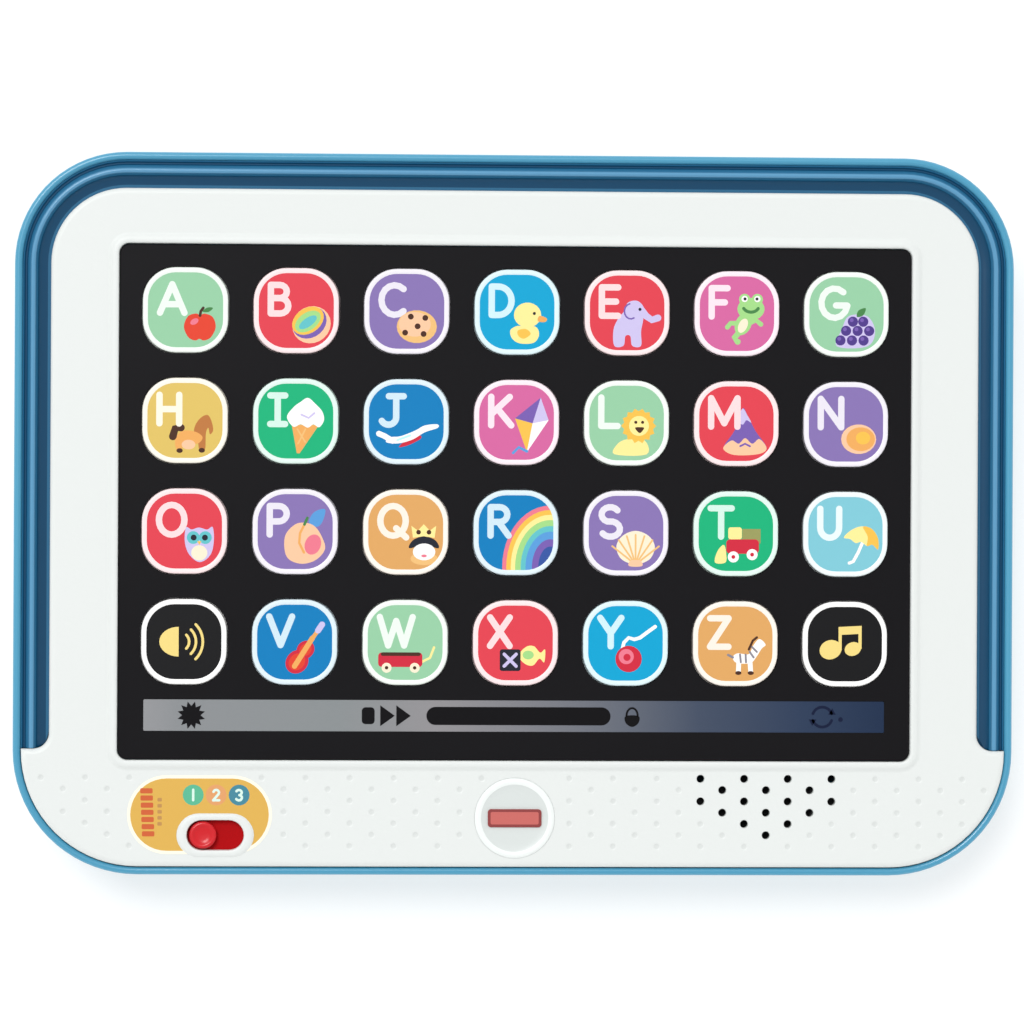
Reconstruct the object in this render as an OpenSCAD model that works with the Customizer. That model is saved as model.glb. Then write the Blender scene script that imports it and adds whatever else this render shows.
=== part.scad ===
// Electronic toy tablet for small children. A blue rear shell, a clear blue light rim and a white
// front bezel hold a black panel with 28 picture buttons over a rubber keypad and a circuit board.
// It lies on its back: X runs to the tablet's right, Y to its top edge and Z out of its front.
// The origin is on the surface it lies on, under the middle of the case. Millimetres.

/* [Case] */
// Width of the case, along X
case_w = 250; // [248:1:262]
// Height of the case, along Y
case_h = 180; // [179:0.5:186]
// Radius of the two top corners
top_r = 27.8; // [26:0.2:30]
// Radius of the two chin corners
chin_r = 31; // [30:0.2:31]
// Radius of the edge round the back
back_edge_r = 8; // [6:0.5:9]
// Wall thickness of the rear shell
wall = 2; // [1.8:0.1:2.2]
// Height of the moulded feet
foot_z = 1; // [0.6:0.1:1.5]
// Radius of a moulded foot
foot_r = 6; // [4:0.5:8]
// How far the rear shell's lip stays below the bezel's face
lip_drop = 1.8; // [1.4:0.1:2]

/* [Light rim] */
// Distance from the case's edge to the bezel, where the rim shows
rim_band = 9.1; // [8.6:0.1:9.6]
// Height at which the rim ends, above the chin
rim_end_y = -58.5; // [-58.5:0.1:-56]
// Radius of the rim's long raised ridge
ridge_r = 1.7; // [1.4:0.1:1.9]
// Radius of the rounded corner at each end of the rim
rim_corner_r = 4; // [3:0.5:5]

/* [Front] */
// Width of the black panel
screen_w = 198; // [196:1:200]
// Height of the black panel
screen_h = 128.5; // [127:0.5:129]
// Height of the panel's middle above the case's middle
screen_y = 2.9; // [2.5:0.1:3.2]
// Corner radius of the panel
screen_r = 2.5; // [2:0.5:4]
// Thickness of the panel
panel_t = 2; // [1.6:0.1:2.4]
// Thickness of the bezel's face
bezel_t = 2.2; // [2:0.1:2.4]
// Width of the raised lip round the panel
lip_w = 2; // [1.5:0.1:2.5]
// Height of the raised lip round the panel
lip_h = 0.6; // [0.4:0.1:0.8]
// Width of the status bar under the buttons
bar_w = 185; // [180:1:188]
// Height of the status bar
bar_h = 7.8; // [7:0.1:8]
// Middle of the status bar, along Y
bar_y = -50.2; // [-50.5:0.1:-49.8]

/* [Buttons] */
// Side of one button
button_w = 21.2; // [20.5:0.1:21.6]
// Corner radius of one button
button_r = 8.2; // [6:0.1:9]
// Spacing of the buttons, both ways
button_pitch = 27.5; // [27:0.1:27.6]
// Middle of the block of buttons, along Y
buttons_y = 9.35; // [9:0.05:9.6]
// How far a button stands above the panel
button_proud = 1; // [0.9:0.1:1.1]
// Room between a button and its opening
button_gap = 0.3; // [0.2:0.05:0.4]

/* [Mode switch] */
// Middle of the window, along X
mode_x = -74.5; // [-76:0.5:-73]
// Middle of the window, along Y
mode_y = -80; // [-80:0.1:-79.5]
// Travel of the knob over its three places
mode_travel = 6.2; // [5:0.1:6.2]
// Radius of the knob
knob_r = 3.4; // [3:0.1:3.5]

/* [Sound] */
// Middle of the speaker, along X
speaker_x = 62.9; // [60:0.1:66]
// Middle of the speaker, along Y
speaker_y = -71.8; // [-72:0.1:-71.5]
// Radius of the speaker
speaker_r = 14; // [12:0.5:14]
// Radius of one sound hole
sound_hole_r = 1; // [0.8:0.1:1.2]
// Sideways spacing of the sound holes
sound_pitch_x = 10.95; // [10:0.05:11]
// Spacing of the rows of sound holes
sound_pitch_y = 2.82; // [2.6:0.02:2.84]

/* [Batteries] */
// Radius of an AA cell
cell_r = 7.25; // [7.1:0.05:7.25]
// Length of an AA cell with its positive button
cell_len = 50.5; // [49.5:0.1:50.5]
// Middle of the battery bay, along Y
bay_y = -14; // [-18:1:-10]

/* [Hidden] */
LETTERS = "abcdefghijklmnopqrstuvwxyz";
BUTTON_NODES = [
    for (row = [0:3], col = [0:6]) button_name(row * 7 + col)
];
$fn = 64;

// Small room used to cut cleanly through a face
cut = 1;
// Room between two fitted mouldings
fit_gap = 0.15;

// Heights from the surface the tablet lies on, up through the stack of parts
floor_z = foot_z + wall;
bay_roof_z = floor_z + 2 * cell_r + 0.5;
bay_roof_t = 1.5;
board_z = bay_roof_z + bay_roof_t + 0.5;
board_t = 1.6;
board_top = board_z + board_t;
keypad_t = 0.6;
dome_h = 1.1;
cap_z = board_top + keypad_t + dome_h;
cap_flange_t = 1.2;
panel_z = cap_z + cap_flange_t + 0.1;
panel_top = panel_z + panel_t;
cap_top = panel_top + button_proud;
bezel_top = panel_top + 0.8;
bezel_z = bezel_top - bezel_t;
ledge_z = panel_z - 1.6;
shell_top = bezel_top - lip_drop;
rim_z = board_z;

// Plan sizes worked out from the driving ones
half_w = case_w / 2;
half_h = case_h / 2;
chin_inset = wall + fit_gap;
skirt_t = 1.8;
skirt_z = rim_z + board_t + 0.2;
ledge_w = 3;
cap_flange_w = 1.2;
bezel_bore_r = 1.45;

// Rim section, measured in from the case's edge
rim_in = wall + 0.2;
rim_out = rim_band - 0.2;
rim_face = shell_top - 1;
ridge_in = 4.8;
bead_in = 7.3;
bead_r = 0.7;
rim_flange_in = 12.5;

// Battery bay and door
bay_w = cell_len + 5.5;
cell_pitch = 2 * cell_r + 0.5;
bay_h = 3 * cell_pitch + 0.6;
bay_wall = 3;
door_lap = 1.6;
door_w = bay_w + 2 * door_lap;
door_h = bay_h + 2 * door_lap;
door_t = 1.8;
door_gap = 0.3;
ear_x = door_w / 2 + 4;
ear_r = 5.5;
ear_t = 4;
cell_z = floor_z + 0.1 + cell_r;
plate_t = 0.5;
tab_z = 12;

// Screws
screw_r = 1.4;
case_screw_at = [
    [-90, 73.5], [90, 73.5], [-104, -66], [104, -66], [-28, -78], [28, -78]
];
tower_r = 5;
tower_top = 17;
case_seat = 8.2;
board_screw_at = [[-104.5, 55], [104.5, 55], [-104.5, -36], [104.5, -36]];
switch_screw_at = [[mode_x - 12, -69.5], [mode_x + 12, -69.5]];
retainer_reach = 19.5;

// Mode switch
window_w = 14.2;
window_h = 7.5;
collar_rim = 2.2;
collar_h = 0.4;
slide_w = 21.2;
slide_h = 9;
slide_t = 1.2;
slide_z = bezel_z - 0.1 - slide_t;
knob_x = mode_x - mode_travel / 2;
lever_w = 2;
switch_board_top = board_z - 2.4;
switch_h = 3.8;
label_x = -78.4;
label_y = -74.9;
label_w = 34.4;
label_h = 18;
label_t = 0.2;

// Medallion in the middle of the chin
medal_y = -75.6;
medal_r = 10;
medal_t = 1.4;
badge_w = 13.4;
badge_h = 4.5;
badge_r = 0.8;

// Colours
SHELL_BLUE = [0.32, 0.66, 0.78];
RIM_BLUE = [0.12, 0.42, 0.6];
WHITE = [0.93, 0.95, 0.94];
BLACK = [0.12, 0.12, 0.13];
BUTTON_COLOURS = [
    [0.6, 0.83, 0.66], [0.92, 0.31, 0.37], [0.57, 0.49, 0.74], [0.04, 0.67, 0.87],
    [0.92, 0.31, 0.37], [0.86, 0.44, 0.66], [0.6, 0.83, 0.66],
    [0.91, 0.77, 0.42], [0.18, 0.75, 0.54], [0.02, 0.54, 0.83], [0.86, 0.44, 0.66],
    [0.6, 0.83, 0.66], [0.92, 0.31, 0.37], [0.57, 0.49, 0.74],
    [0.92, 0.31, 0.37], [0.57, 0.49, 0.74], [0.89, 0.67, 0.38], [0.02, 0.54, 0.83],
    [0.57, 0.49, 0.74], [0.18, 0.75, 0.54], [0.51, 0.8, 0.87],
    [0.11, 0.12, 0.13], [0.02, 0.54, 0.83], [0.6, 0.83, 0.66], [0.92, 0.31, 0.37],
    [0.04, 0.67, 0.87], [0.89, 0.67, 0.38], [0.11, 0.12, 0.13]
];

// Wire routes inside the case, as points that the wire passes through
WIRE_R = 0.6;
BATTERY_ROUTES = [
    [[-31.95, -32.8, 12], [-33, -32.8, 12], [-36, -32.6, 13], [-38.6, -32, 15.4],
        [-39.5, -31.5, 18], [-39.5, -31.5, 19.85]],
    [[-31.95, 4.8, 12], [-33, 4.8, 12], [-36, 4.2, 13], [-38.6, 2.6, 15.4],
        [-39.5, 2, 18], [-39.5, 2, 19.85]]
];
SPEAKER_ROUTES = [
    [[59.15, -62.53, 19.5], [59.15, -62.53, 18.3], [58.9, -60.6, 16.6], [58.4, -54, 16],
        [57.8, -46, 16.8], [57.6, -42, 18.2], [57.6, -42, 19.85]],
    [[66.65, -62.53, 19.5], [66.65, -62.53, 18.3], [66.5, -60.6, 16.6], [66.2, -54, 16],
        [65.6, -46, 16.8], [65.4, -42, 18.2], [65.4, -42, 19.85]]
];
SWITCH_ROUTES = [
    for (x = [-78.5, -74.5, -70.5])
        [[x, -67.6, 17.75], [x, -67.6, 18.6], [x, -66, 19.9], [x, -63, 19.4],
            [x, -54, 17.4], [x + 0.4, -46, 17.2], [x + 0.5, -43, 18.2], [x + 0.5, -43, 19.85]]
];

// The letter buttons run a to u, then sound, v to z and music fill the last row
function button_name(n) =
    n == 21 ? "button_sound" :
    n == 27 ? "button_music" :
    str("button_", LETTERS[n < 21 ? n : n - 1]);
function button_at(n) = [
    (n % 7 - 3) * button_pitch,
    buttons_y + (1.5 - floor(n / 7)) * button_pitch
];

// ---------------------------------------------------------------- plan outlines

// Rectangle with true round corners, centred on the origin
module round_rect(w, h, r) {
    square([w - 2 * r, h], center = true);
    square([w, h - 2 * r], center = true);
    for (x = [-1, 1], y = [-1, 1])
        translate([x * (w / 2 - r), y * (h / 2 - r)])
            circle(r);
}

// Slot with round ends, centred on the origin
module pill(w, h) {
    square([w - h, h], center = true);
    for (side = [-1, 1])
        translate([side * (w - h) / 2, 0])
            circle(h / 2);
}

// Outline of the case, moved in from its edge
module outline(inset) {
    w = half_w - inset;
    h = half_h - inset;
    rt = top_r - inset;
    rc = chin_r - inset;
    polygon([
        [-w, h - rt], [rt - w, h], [w - rt, h], [w, h - rt],
        [w, rc - h], [w - rc, -h], [rc - w, -h], [-w, rc - h]
    ]);
    for (side = [-1, 1]) {
        translate([side * (w - rt), h - rt])
            circle(rt);
        translate([side * (w - rc), rc - h])
            circle(rc);
    }
}

// Outline of the bezel: narrow beside the rim and full width at the chin
module bezel_plan(inset) {
    corner = rim_corner_r + inset;
    chin_y = rim_end_y - fit_gap - inset;
    outline(rim_band + inset);
    intersection() {
        outline(chin_inset + inset);
        translate([-case_w, -case_h])
            square([2 * case_w, case_h + chin_y]);
    }
    both_sides()
        translate([half_w - rim_band - inset, chin_y])
            difference() {
                square(corner);
                translate([corner, corner])
                    circle(corner);
            }
}

module at_screen() {
    translate([0, screen_y, 0])
        children();
}

// ---------------------------------------------------------------- sweeps round the case

module both_sides() {
    children();
    mirror([1, 0, 0])
        children();
}

module plate(bottom, top) {
    translate([0, 0, bottom])
        linear_extrude(top - bottom)
            children();
}

// Sweeps a section, drawn as distance in from the edge and height, round a quarter turn
module quarter(r, turn) {
    rotate([0, 0, turn])
        rotate_extrude(angle = 90)
            translate([r, 0])
                mirror([1, 0])
                    children();
}

// Runs the same section straight beside an edge, from y0 down to y1
module straight(edge, y0, y1) {
    translate([edge, y0, 0])
        rotate([90, 0, 0])
            linear_extrude(y0 - y1)
                mirror([1, 0])
                    children();
}

// Left side, top and right side
module upper_sweep(end_y) {
    both_sides() {
        straight(half_w, half_h - top_r, end_y)
            children();
        translate([half_w - top_r, half_h - top_r, 0])
            quarter(top_r, 0)
                children();
    }
    rotate([0, 0, 90])
        straight(half_h, half_w - top_r, top_r - half_w)
            children();
}

// The whole edge of the case
module full_sweep() {
    upper_sweep(chin_r - half_h)
        children();
    both_sides()
        translate([half_w - chin_r, chin_r - half_h, 0])
            quarter(chin_r, -90)
                children();
    mirror([0, 1, 0])
        rotate([0, 0, 90])
            straight(half_h, half_w - chin_r, chin_r - half_w)
                children();
}

// Solid of the case's outline with a rounded edge at its back
module rounded_block(inset, bottom, top, r) {
    plate(bottom, bottom + r)
        outline(inset + r);
    plate(bottom + r, top)
        outline(inset);
    full_sweep()
        translate([inset + r, bottom + r])
            intersection() {
                circle(r);
                translate([-r, -r])
                    square(r);
            }
}

// ---------------------------------------------------------------- wires and springs

function unit(v) = v / norm(v);
function path_way(p, n) = unit(p[min(n + 1, len(p) - 1)] - p[max(n - 1, 0)]);
function across(way) = unit(cross(way, abs(way.x) < 0.8 ? [1, 0, 0] : [0, 0, 1]));
function ring_at(centre, way, r, sides) =
    let (a = across(way), b = cross(way, a))
    [for (k = [0:sides - 1])
        centre + r * (cos(360 * k / sides) * a + sin(360 * k / sides) * b)];

// Round wire along a list of points
module tube(path, r, sides = 8) {
    points = [for (n = [0:len(path) - 1]) each ring_at(path[n], path_way(path, n), r, sides)];
    last = (len(path) - 1) * sides;
    skin = [
        for (n = [0:len(path) - 2], k = [0:sides - 1])
            let (next = (k + 1) % sides, base = n * sides)
            each [
                [base + k, base + next, base + sides + next],
                [base + k, base + sides + next, base + sides + k]
            ]
    ];
    start_cap = [for (k = [sides - 1:-1:0]) k];
    end_cap = [for (k = [0:sides - 1]) last + k];
    polyhedron(points, concat([start_cap], skin, [end_cap]), convexity = 6);
}

// Smooth curve through every point of a route
function spline(p, n, t) =
    let (a = p[max(n - 1, 0)], b = p[n], c = p[n + 1], d = p[min(n + 2, len(p) - 1)])
    0.5 * (2 * b + (c - a) * t + (2 * a - 5 * b + 4 * c - d) * t * t
        + (3 * b - a - 3 * c + d) * t * t * t);
function smooth(p, steps) = concat(
    [for (n = [0:len(p) - 2], k = [0:steps - 1]) spline(p, n, k / steps)],
    [p[len(p) - 1]]
);

// ---------------------------------------------------------------- screws

// Pan-head screw that points up, with its head's outer face at z = 0
module screw(head_r, head_h, length) {
    difference() {
        union() {
            cylinder(r = head_r, h = head_h);
            translate([0, 0, head_h])
                cylinder(r = screw_r, h = length);
            translate([0, 0, head_h + length])
                cylinder(r1 = screw_r, r2 = 0.4, h = 1);
        }
        for (turn = [0, 90])
            rotate([0, 0, turn])
                translate([-head_r * 0.6, -0.35, -cut])
                    cube([head_r * 1.2, 0.7, cut + 0.9]);
    }
}

// ---------------------------------------------------------------- case

module feet() {
    for (x = [-1, 1], y = [-44, 56])
        translate([x * 100, y, 0])
            cylinder(r = foot_r, h = foot_z + cut);
}

module battery_box() {
    translate([0, bay_y, 0]) {
        plate(foot_z, bay_roof_z + bay_roof_t)
            square([bay_w + 2 * bay_wall, bay_h + 2 * bay_wall], center = true);
        for (side = [-1, 1])
            translate([side * ear_x, 0, foot_z])
                cylinder(r = ear_r + door_gap + 1.5, h = 15);
    }
}

module battery_room() {
    recess_top = foot_z + door_t + 0.1;
    ear_top = foot_z + ear_t + 0.2;
    translate([0, bay_y, 0]) {
        plate(recess_top - cut, bay_roof_z)
            square([bay_w, bay_h], center = true);
        plate(foot_z - cut, recess_top)
            round_rect(door_w + 2 * door_gap, door_h + 2 * door_gap, 3 + door_gap);
        for (side = [-1, 1]) {
            translate([side * ear_x, 0, foot_z - cut])
                cylinder(r = ear_r + door_gap, h = ear_top - foot_z + cut);
            translate([side * ear_x, 0, foot_z])
                cylinder(r = screw_r + 0.15, h = 13);
        }
        for (side = [-1, 1], y = [-1, 1])
            translate([side * (bay_w / 2 + bay_wall / 2), y * (bay_h / 2 - 4), tab_z])
                cube([bay_wall + cut, 3, 1.2], center = true);
    }
}

module rear_shell() {
    color(SHELL_BLUE)
        difference() {
            union() {
                difference() {
                    rounded_block(0, foot_z, shell_top - wall / 2, back_edge_r);
                    rounded_block(wall + 1.2, floor_z, rim_z, back_edge_r - 3);
                    plate(rim_z, shell_top + cut)
                        outline(wall);
                }
                full_sweep()
                    translate([wall / 2, shell_top - wall / 2])
                        intersection() {
                            circle(wall / 2);
                            translate([-wall / 2, 0])
                                square([wall, wall / 2]);
                        }
                for (at = case_screw_at)
                    translate([at.x, at.y, foot_z])
                        cylinder(r = tower_r, h = tower_top - foot_z);
                battery_box();
                feet();
            }
            battery_room();
            for (at = case_screw_at)
                translate([at.x, at.y, 0]) {
                    cylinder(r = 3.4, h = case_seat);
                    cylinder(r = screw_r + 0.3, h = tower_top + cut);
                }
        }
}

module light_rim() {
    color(RIM_BLUE, 0.7)
        difference() {
            upper_sweep(rim_end_y) {
                union() {
                    translate([rim_in, rim_z])
                        square([rim_out - rim_in, rim_face - rim_z]);
                    translate([ridge_in, rim_face])
                        circle(ridge_r);
                    translate([bead_in, rim_face])
                        circle(bead_r);
                    translate([rim_out - cut, rim_z])
                        square([rim_flange_in - rim_out + cut, board_t]);
                }
            }
            both_sides()
                plate(rim_z - cut, shell_top + 2 * cut)
                    translate([half_w - rim_out, rim_end_y])
                        difference() {
                            translate([-cut, -cut])
                                square(rim_corner_r + cut);
                            translate([rim_corner_r, rim_corner_r])
                                circle(rim_corner_r);
                        }
        }
}

// Walls and bosses behind the bezel's face
module bezel_back() {
    plate(skirt_z, bezel_z + cut)
        difference() {
            bezel_plan(0);
            bezel_plan(skirt_t);
        }
    at_screen()
        plate(ledge_z, bezel_z + cut)
            round_rect(screen_w + 3.6, screen_h + 3.6, screen_r + 1.8);
    for (at = case_screw_at)
        translate([at.x, at.y, tower_top + 0.1])
            cylinder(r = 3.2, h = bezel_z - tower_top);
    for (at = board_screw_at)
        translate([at.x, at.y, board_top])
            cylinder(r = 3.2, h = bezel_z - board_top + cut);
    for (at = switch_screw_at)
        translate([at.x, at.y, switch_board_top])
            cylinder(r = 2.6, h = bezel_z - switch_board_top + cut);
    for (side = [-1, 1])
        translate([speaker_x + side * retainer_reach, speaker_y - 2, ledge_z - 1.1])
            cylinder(r = 2.8, h = bezel_z - ledge_z + 1.1 + cut);
}

module sound_holes() {
    counts = [4, 3, 4, 3, 2, 1];
    top_y = speaker_y + 6.1;
    for (row = [0:len(counts) - 1], k = [0:counts[row] - 1])
        translate([
            speaker_x + (k - (counts[row] - 1) / 2) * sound_pitch_x,
            top_y - row * sound_pitch_y,
            bezel_z - cut
        ])
            cylinder(r = sound_hole_r, h = bezel_t + 2 * cut, $fn = 24);
}

module front_bezel() {
    guide_y = slide_h / 2 + 0.2;
    color(WHITE)
        difference() {
            union() {
                plate(bezel_z, bezel_top)
                    bezel_plan(0);
                bezel_back();
                at_screen()
                    plate(bezel_top - cut, bezel_top + lip_h)
                        round_rect(screen_w + 2 * lip_w, screen_h + 2 * lip_w, screen_r + lip_w);
                translate([mode_x, mode_y, 0]) {
                    plate(bezel_top - cut, bezel_top + collar_h)
                        pill(window_w + 2 * collar_rim, window_h + collar_rim);
                    translate([0, guide_y + 0.5, (slide_z + bezel_z) / 2])
                        cube([30, 1, bezel_z - slide_z + 1], center = true);
                }
                difference() {
                    translate([speaker_x, speaker_y, ledge_z - 1.1])
                        cylinder(r = speaker_r + 1.2, h = bezel_z - ledge_z + 1.6);
                    translate([speaker_x, speaker_y, ledge_z - 1.1 - cut])
                        cylinder(r = speaker_r + 0.2, h = 1.1 + cut);
                    plate(ledge_z - cut, bezel_z)
                        intersection() {
                            translate([speaker_x, speaker_y])
                                circle(speaker_r - 0.4);
                            translate([speaker_x - half_h, -half_h])
                                square([case_h, screen_y - screen_h / 2 - 1.8 + half_h]);
                        }
                }
            }
            at_screen() {
                plate(panel_z, bezel_top + lip_h + cut)
                    round_rect(screen_w, screen_h, screen_r);
                plate(ledge_z - cut, panel_z + cut)
                    round_rect(screen_w - 2 * ledge_w, screen_h - 2 * ledge_w, screen_r);
            }
            translate([mode_x, mode_y, 0])
                plate(bezel_z - cut, bezel_top + collar_h + cut)
                    pill(window_w, window_h);
            translate([0, medal_y, bezel_top - 1])
                cylinder(r = medal_r + 0.1, h = 1 + cut);
            plate(bezel_top - label_t, bezel_top + lip_h + cut)
                label_plan();
            sound_holes();
            for (at = case_screw_at)
                translate([at.x, at.y, tower_top - cut])
                    cylinder(r = bezel_bore_r, h = bezel_z - tower_top + cut);
            for (at = board_screw_at)
                translate([at.x, at.y, board_top - cut])
                    cylinder(r = bezel_bore_r, h = bezel_z - board_top + cut);
            for (at = switch_screw_at)
                translate([at.x, at.y, switch_board_top - cut])
                    cylinder(r = bezel_bore_r, h = bezel_z - switch_board_top + cut);
            for (side = [-1, 1])
                translate([speaker_x + side * retainer_reach, speaker_y - 2, ledge_z - 2.1])
                    cylinder(r = bezel_bore_r, h = bezel_z - ledge_z + 2.1);
        }
}

// The sticker round the switch, cut out round its collar
module label_plan() {
    difference() {
        translate([label_x, label_y])
            pill(label_w, label_h);
        translate([mode_x, mode_y])
            pill(window_w + 2 * collar_rim + 0.4, window_h + collar_rim + 0.4);
    }
}

module mode_label() {
    color([0.92, 0.74, 0.32])
        plate(bezel_top - label_t, bezel_top + 0.05)
            label_plan();
}

module medallion() {
    color(WHITE)
        translate([0, medal_y, 0])
            difference() {
                union() {
                    plate(bezel_top - 1, bezel_top - 1 + medal_t)
                        circle(medal_r);
                    translate([0, 0, bezel_top - 1 + medal_t - 0.3])
                        cylinder(r = medal_r - 1.2, h = 0.4);
                }
                plate(bezel_top - 1 + medal_t - 0.4, bezel_top + medal_t)
                    round_rect(badge_w + 0.1, badge_h + 0.1, badge_r + 0.05);
            }
}

module medallion_badge() {
    color([0.8, 0.2, 0.2])
        translate([0, medal_y, 0])
            plate(bezel_top - 1 + medal_t - 0.4, bezel_top - 1 + medal_t + 0.15)
                round_rect(badge_w, badge_h, badge_r);
}

// ---------------------------------------------------------------- panel and buttons

module screen_panel() {
    color(BLACK)
        difference() {
            at_screen()
                plate(panel_z, panel_top)
                    round_rect(screen_w - 0.4, screen_h - 0.4, screen_r - 0.2);
            for (n = [0:27])
                translate(button_at(n))
                    plate(panel_z - cut, panel_top + cut)
                        round_rect(
                            button_w + 2 * button_gap,
                            button_w + 2 * button_gap,
                            button_r + button_gap
                        );
            translate([0, bar_y, 0])
                plate(panel_top - 0.8, panel_top + cut)
                    square([bar_w + 0.1, bar_h + 0.1], center = true);
        }
}

// Clear bar with a slot that shows the dark panel behind it
module status_bar() {
    color([0.5, 0.52, 0.56])
        translate([0, bar_y, 0])
            plate(panel_top - 0.8, panel_top + 0.05)
                difference() {
                    square([bar_w, bar_h], center = true);
                    translate([0.5, 0])
                        pill(46, 4);
                }
}

module button_cap(n) {
    color(BUTTON_COLOURS[n])
        translate(button_at(n)) {
            plate(cap_z, cap_z + cap_flange_t)
                round_rect(
                    button_w + 2 * cap_flange_w,
                    button_w + 2 * cap_flange_w,
                    button_r + cap_flange_w
                );
            plate(cap_z + cap_flange_t, cap_top)
                round_rect(button_w, button_w, button_r);
        }
}

module keypad() {
    color([0.75, 0.78, 0.8]) {
        translate([0, buttons_y, 0])
            plate(board_top, board_top + keypad_t)
                round_rect(188, 108, 3);
        for (n = [0:27])
            translate(concat(button_at(n), [board_top + keypad_t]))
                cylinder(r1 = 6.5, r2 = 5, h = dome_h);
    }
}

// ---------------------------------------------------------------- electronics

module circuit_board() {
    color([0.1, 0.4, 0.25])
        plate(board_z, board_top)
            difference() {
                translate([0, buttons_y + 0.1])
                    square([214, 114], center = true);
                for (at = board_screw_at)
                    translate(at)
                        circle(1.6);
            }
}

module board_parts() {
    color([0.08, 0.08, 0.09]) {
        // Sealed chip
        translate([58, 28, board_z])
            intersection() {
                translate([0, 0, 11])
                    sphere(13);
                translate([0, 0, -3])
                    cylinder(r = 10, h = 3);
            }
        // Capacitors
        for (x = [-70, -60])
            translate([x, 36, board_z - 8])
                cylinder(r = 2.5, h = 8);
        // Resistors
        for (k = [0:5])
            translate([36 + 6 * k, 8, board_z - 0.6])
                cube([3.2, 1.6, 0.6]);
    }
}

module rim_leds() {
    color([0.95, 0.95, 0.85]) {
        for (side = [-1, 1], y = [-26, 10, 46])
            translate([side * 105, y, board_top + 0.7])
                cube([2.4, 3.6, 1.4], center = true);
        for (x = [-72, -24, 24, 72])
            translate([x, buttons_y + 55.6, board_top + 0.7])
                cube([3.6, 2.4, 1.4], center = true);
    }
}

module speaker() {
    top = ledge_z - 0.1;
    color([0.3, 0.3, 0.32])
        translate([speaker_x, speaker_y, 0])
            rotate_extrude()
                polygon([
                    [0, top - 2], [3, top - 1.5], [5, top - 3], [speaker_r - 2.5, top - 0.6],
                    [speaker_r - 2, top], [speaker_r, top], [speaker_r, top - 1],
                    [speaker_r - 1.6, top - 1], [7, top - 5], [6.5, top - 5],
                    [6.5, top - 8], [0, top - 8]
                ]);
}

module speaker_retainer() {
    top = ledge_z - 1.1;
    color([0.85, 0.86, 0.84])
        plate(top - 1.4, top)
            difference() {
                union() {
                    translate([speaker_x, speaker_y])
                        circle(speaker_r - 0.4);
                    translate([speaker_x, speaker_y - 2])
                        pill(2 * retainer_reach + 7, 7);
                }
                translate([speaker_x, speaker_y])
                    circle(speaker_r - 1.4);
                for (side = [-1, 1])
                    translate([speaker_x + side * retainer_reach, speaker_y - 2])
                        circle(1.6);
            }
}

module switch_board() {
    color([0.1, 0.4, 0.25])
        plate(switch_board_top - 1.2, switch_board_top)
            difference() {
                translate([mode_x, -75.6])
                    square([31, 18], center = true);
                for (at = switch_screw_at)
                    translate(at)
                        circle(1.6);
            }
}

module mode_switch() {
    slot = mode_travel + lever_w + 0.6;
    color([0.6, 0.61, 0.63])
        translate([mode_x, mode_y, switch_board_top])
            difference() {
                translate([-7.5, -2.2, 0])
                    cube([15, 4.4, switch_h]);
                translate([-slot / 2, -lever_w / 2 - 0.15, 1])
                    cube([slot, lever_w + 0.3, switch_h]);
            }
}

module switch_lever() {
    base = switch_board_top + 1.1;
    color([0.1, 0.1, 0.1])
        translate([knob_x, mode_y, (base + slide_z + slide_t - 0.2) / 2])
            cube([lever_w, lever_w, slide_z + slide_t - 0.2 - base], center = true);
}

module mode_slider() {
    hole = lever_w + 0.1;
    color([0.85, 0.1, 0.14])
        translate([knob_x, mode_y, 0])
            difference() {
                union() {
                    plate(slide_z, slide_z + slide_t)
                        round_rect(slide_w, slide_h, 1);
                    plate(slide_z + slide_t, bezel_top - 0.2)
                        circle(knob_r);
                    translate([0, 0, bezel_top - 0.2])
                        cylinder(r1 = knob_r, r2 = knob_r - 0.6, h = 0.5);
                }
                translate([-hole / 2, -hole / 2, slide_z - cut])
                    cube([hole, hole, slide_t + cut]);
            }
}

// ---------------------------------------------------------------- batteries

module battery_door() {
    color(SHELL_BLUE)
        translate([0, bay_y, 0])
            difference() {
                union() {
                    plate(foot_z, foot_z + door_t)
                        round_rect(door_w, door_h, 3);
                    for (side = [-1, 1])
                        translate([side * ear_x, 0, foot_z])
                            cylinder(r = ear_r, h = ear_t);
                    for (side = [-1, 1])
                        plate(foot_z + door_t - cut, foot_z + 5)
                            translate([0, side * cell_pitch / 2])
                                square([40, 1.2], center = true);
                }
                for (side = [-1, 1])
                    translate([side * ear_x, 0, foot_z - cut]) {
                        cylinder(r = 3.2, h = 2.8 + cut);
                        cylinder(r = screw_r + 0.25, h = ear_t + 2 * cut);
                    }
                for (k = [-2:2])
                    plate(foot_z - cut, foot_z + 0.6)
                        translate([0, door_h / 2 - 8 + 2.4 * k])
                            pill(18 - 4 * abs(k), 1.2);
            }
}

module door_screws() {
    color([0.7, 0.7, 0.72])
        for (side = [-1, 1])
            translate([side * ear_x, bay_y, foot_z + 1])
                screw(2.8, 1.8, 7);
}

// An AA cell along X, with its positive end towards way
module cell(n, way) {
    color([0.2, 0.22, 0.25])
        translate([0, bay_y + (n - 1) * cell_pitch, cell_z])
            rotate([0, way * 90, 0])
                translate([0, 0, bay_w / 2 - plate_t - cell_len]) {
                    cylinder(r = cell_r, h = cell_len - 1.5);
                    cylinder(r = 2.7, h = cell_len);
                }
}

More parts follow.
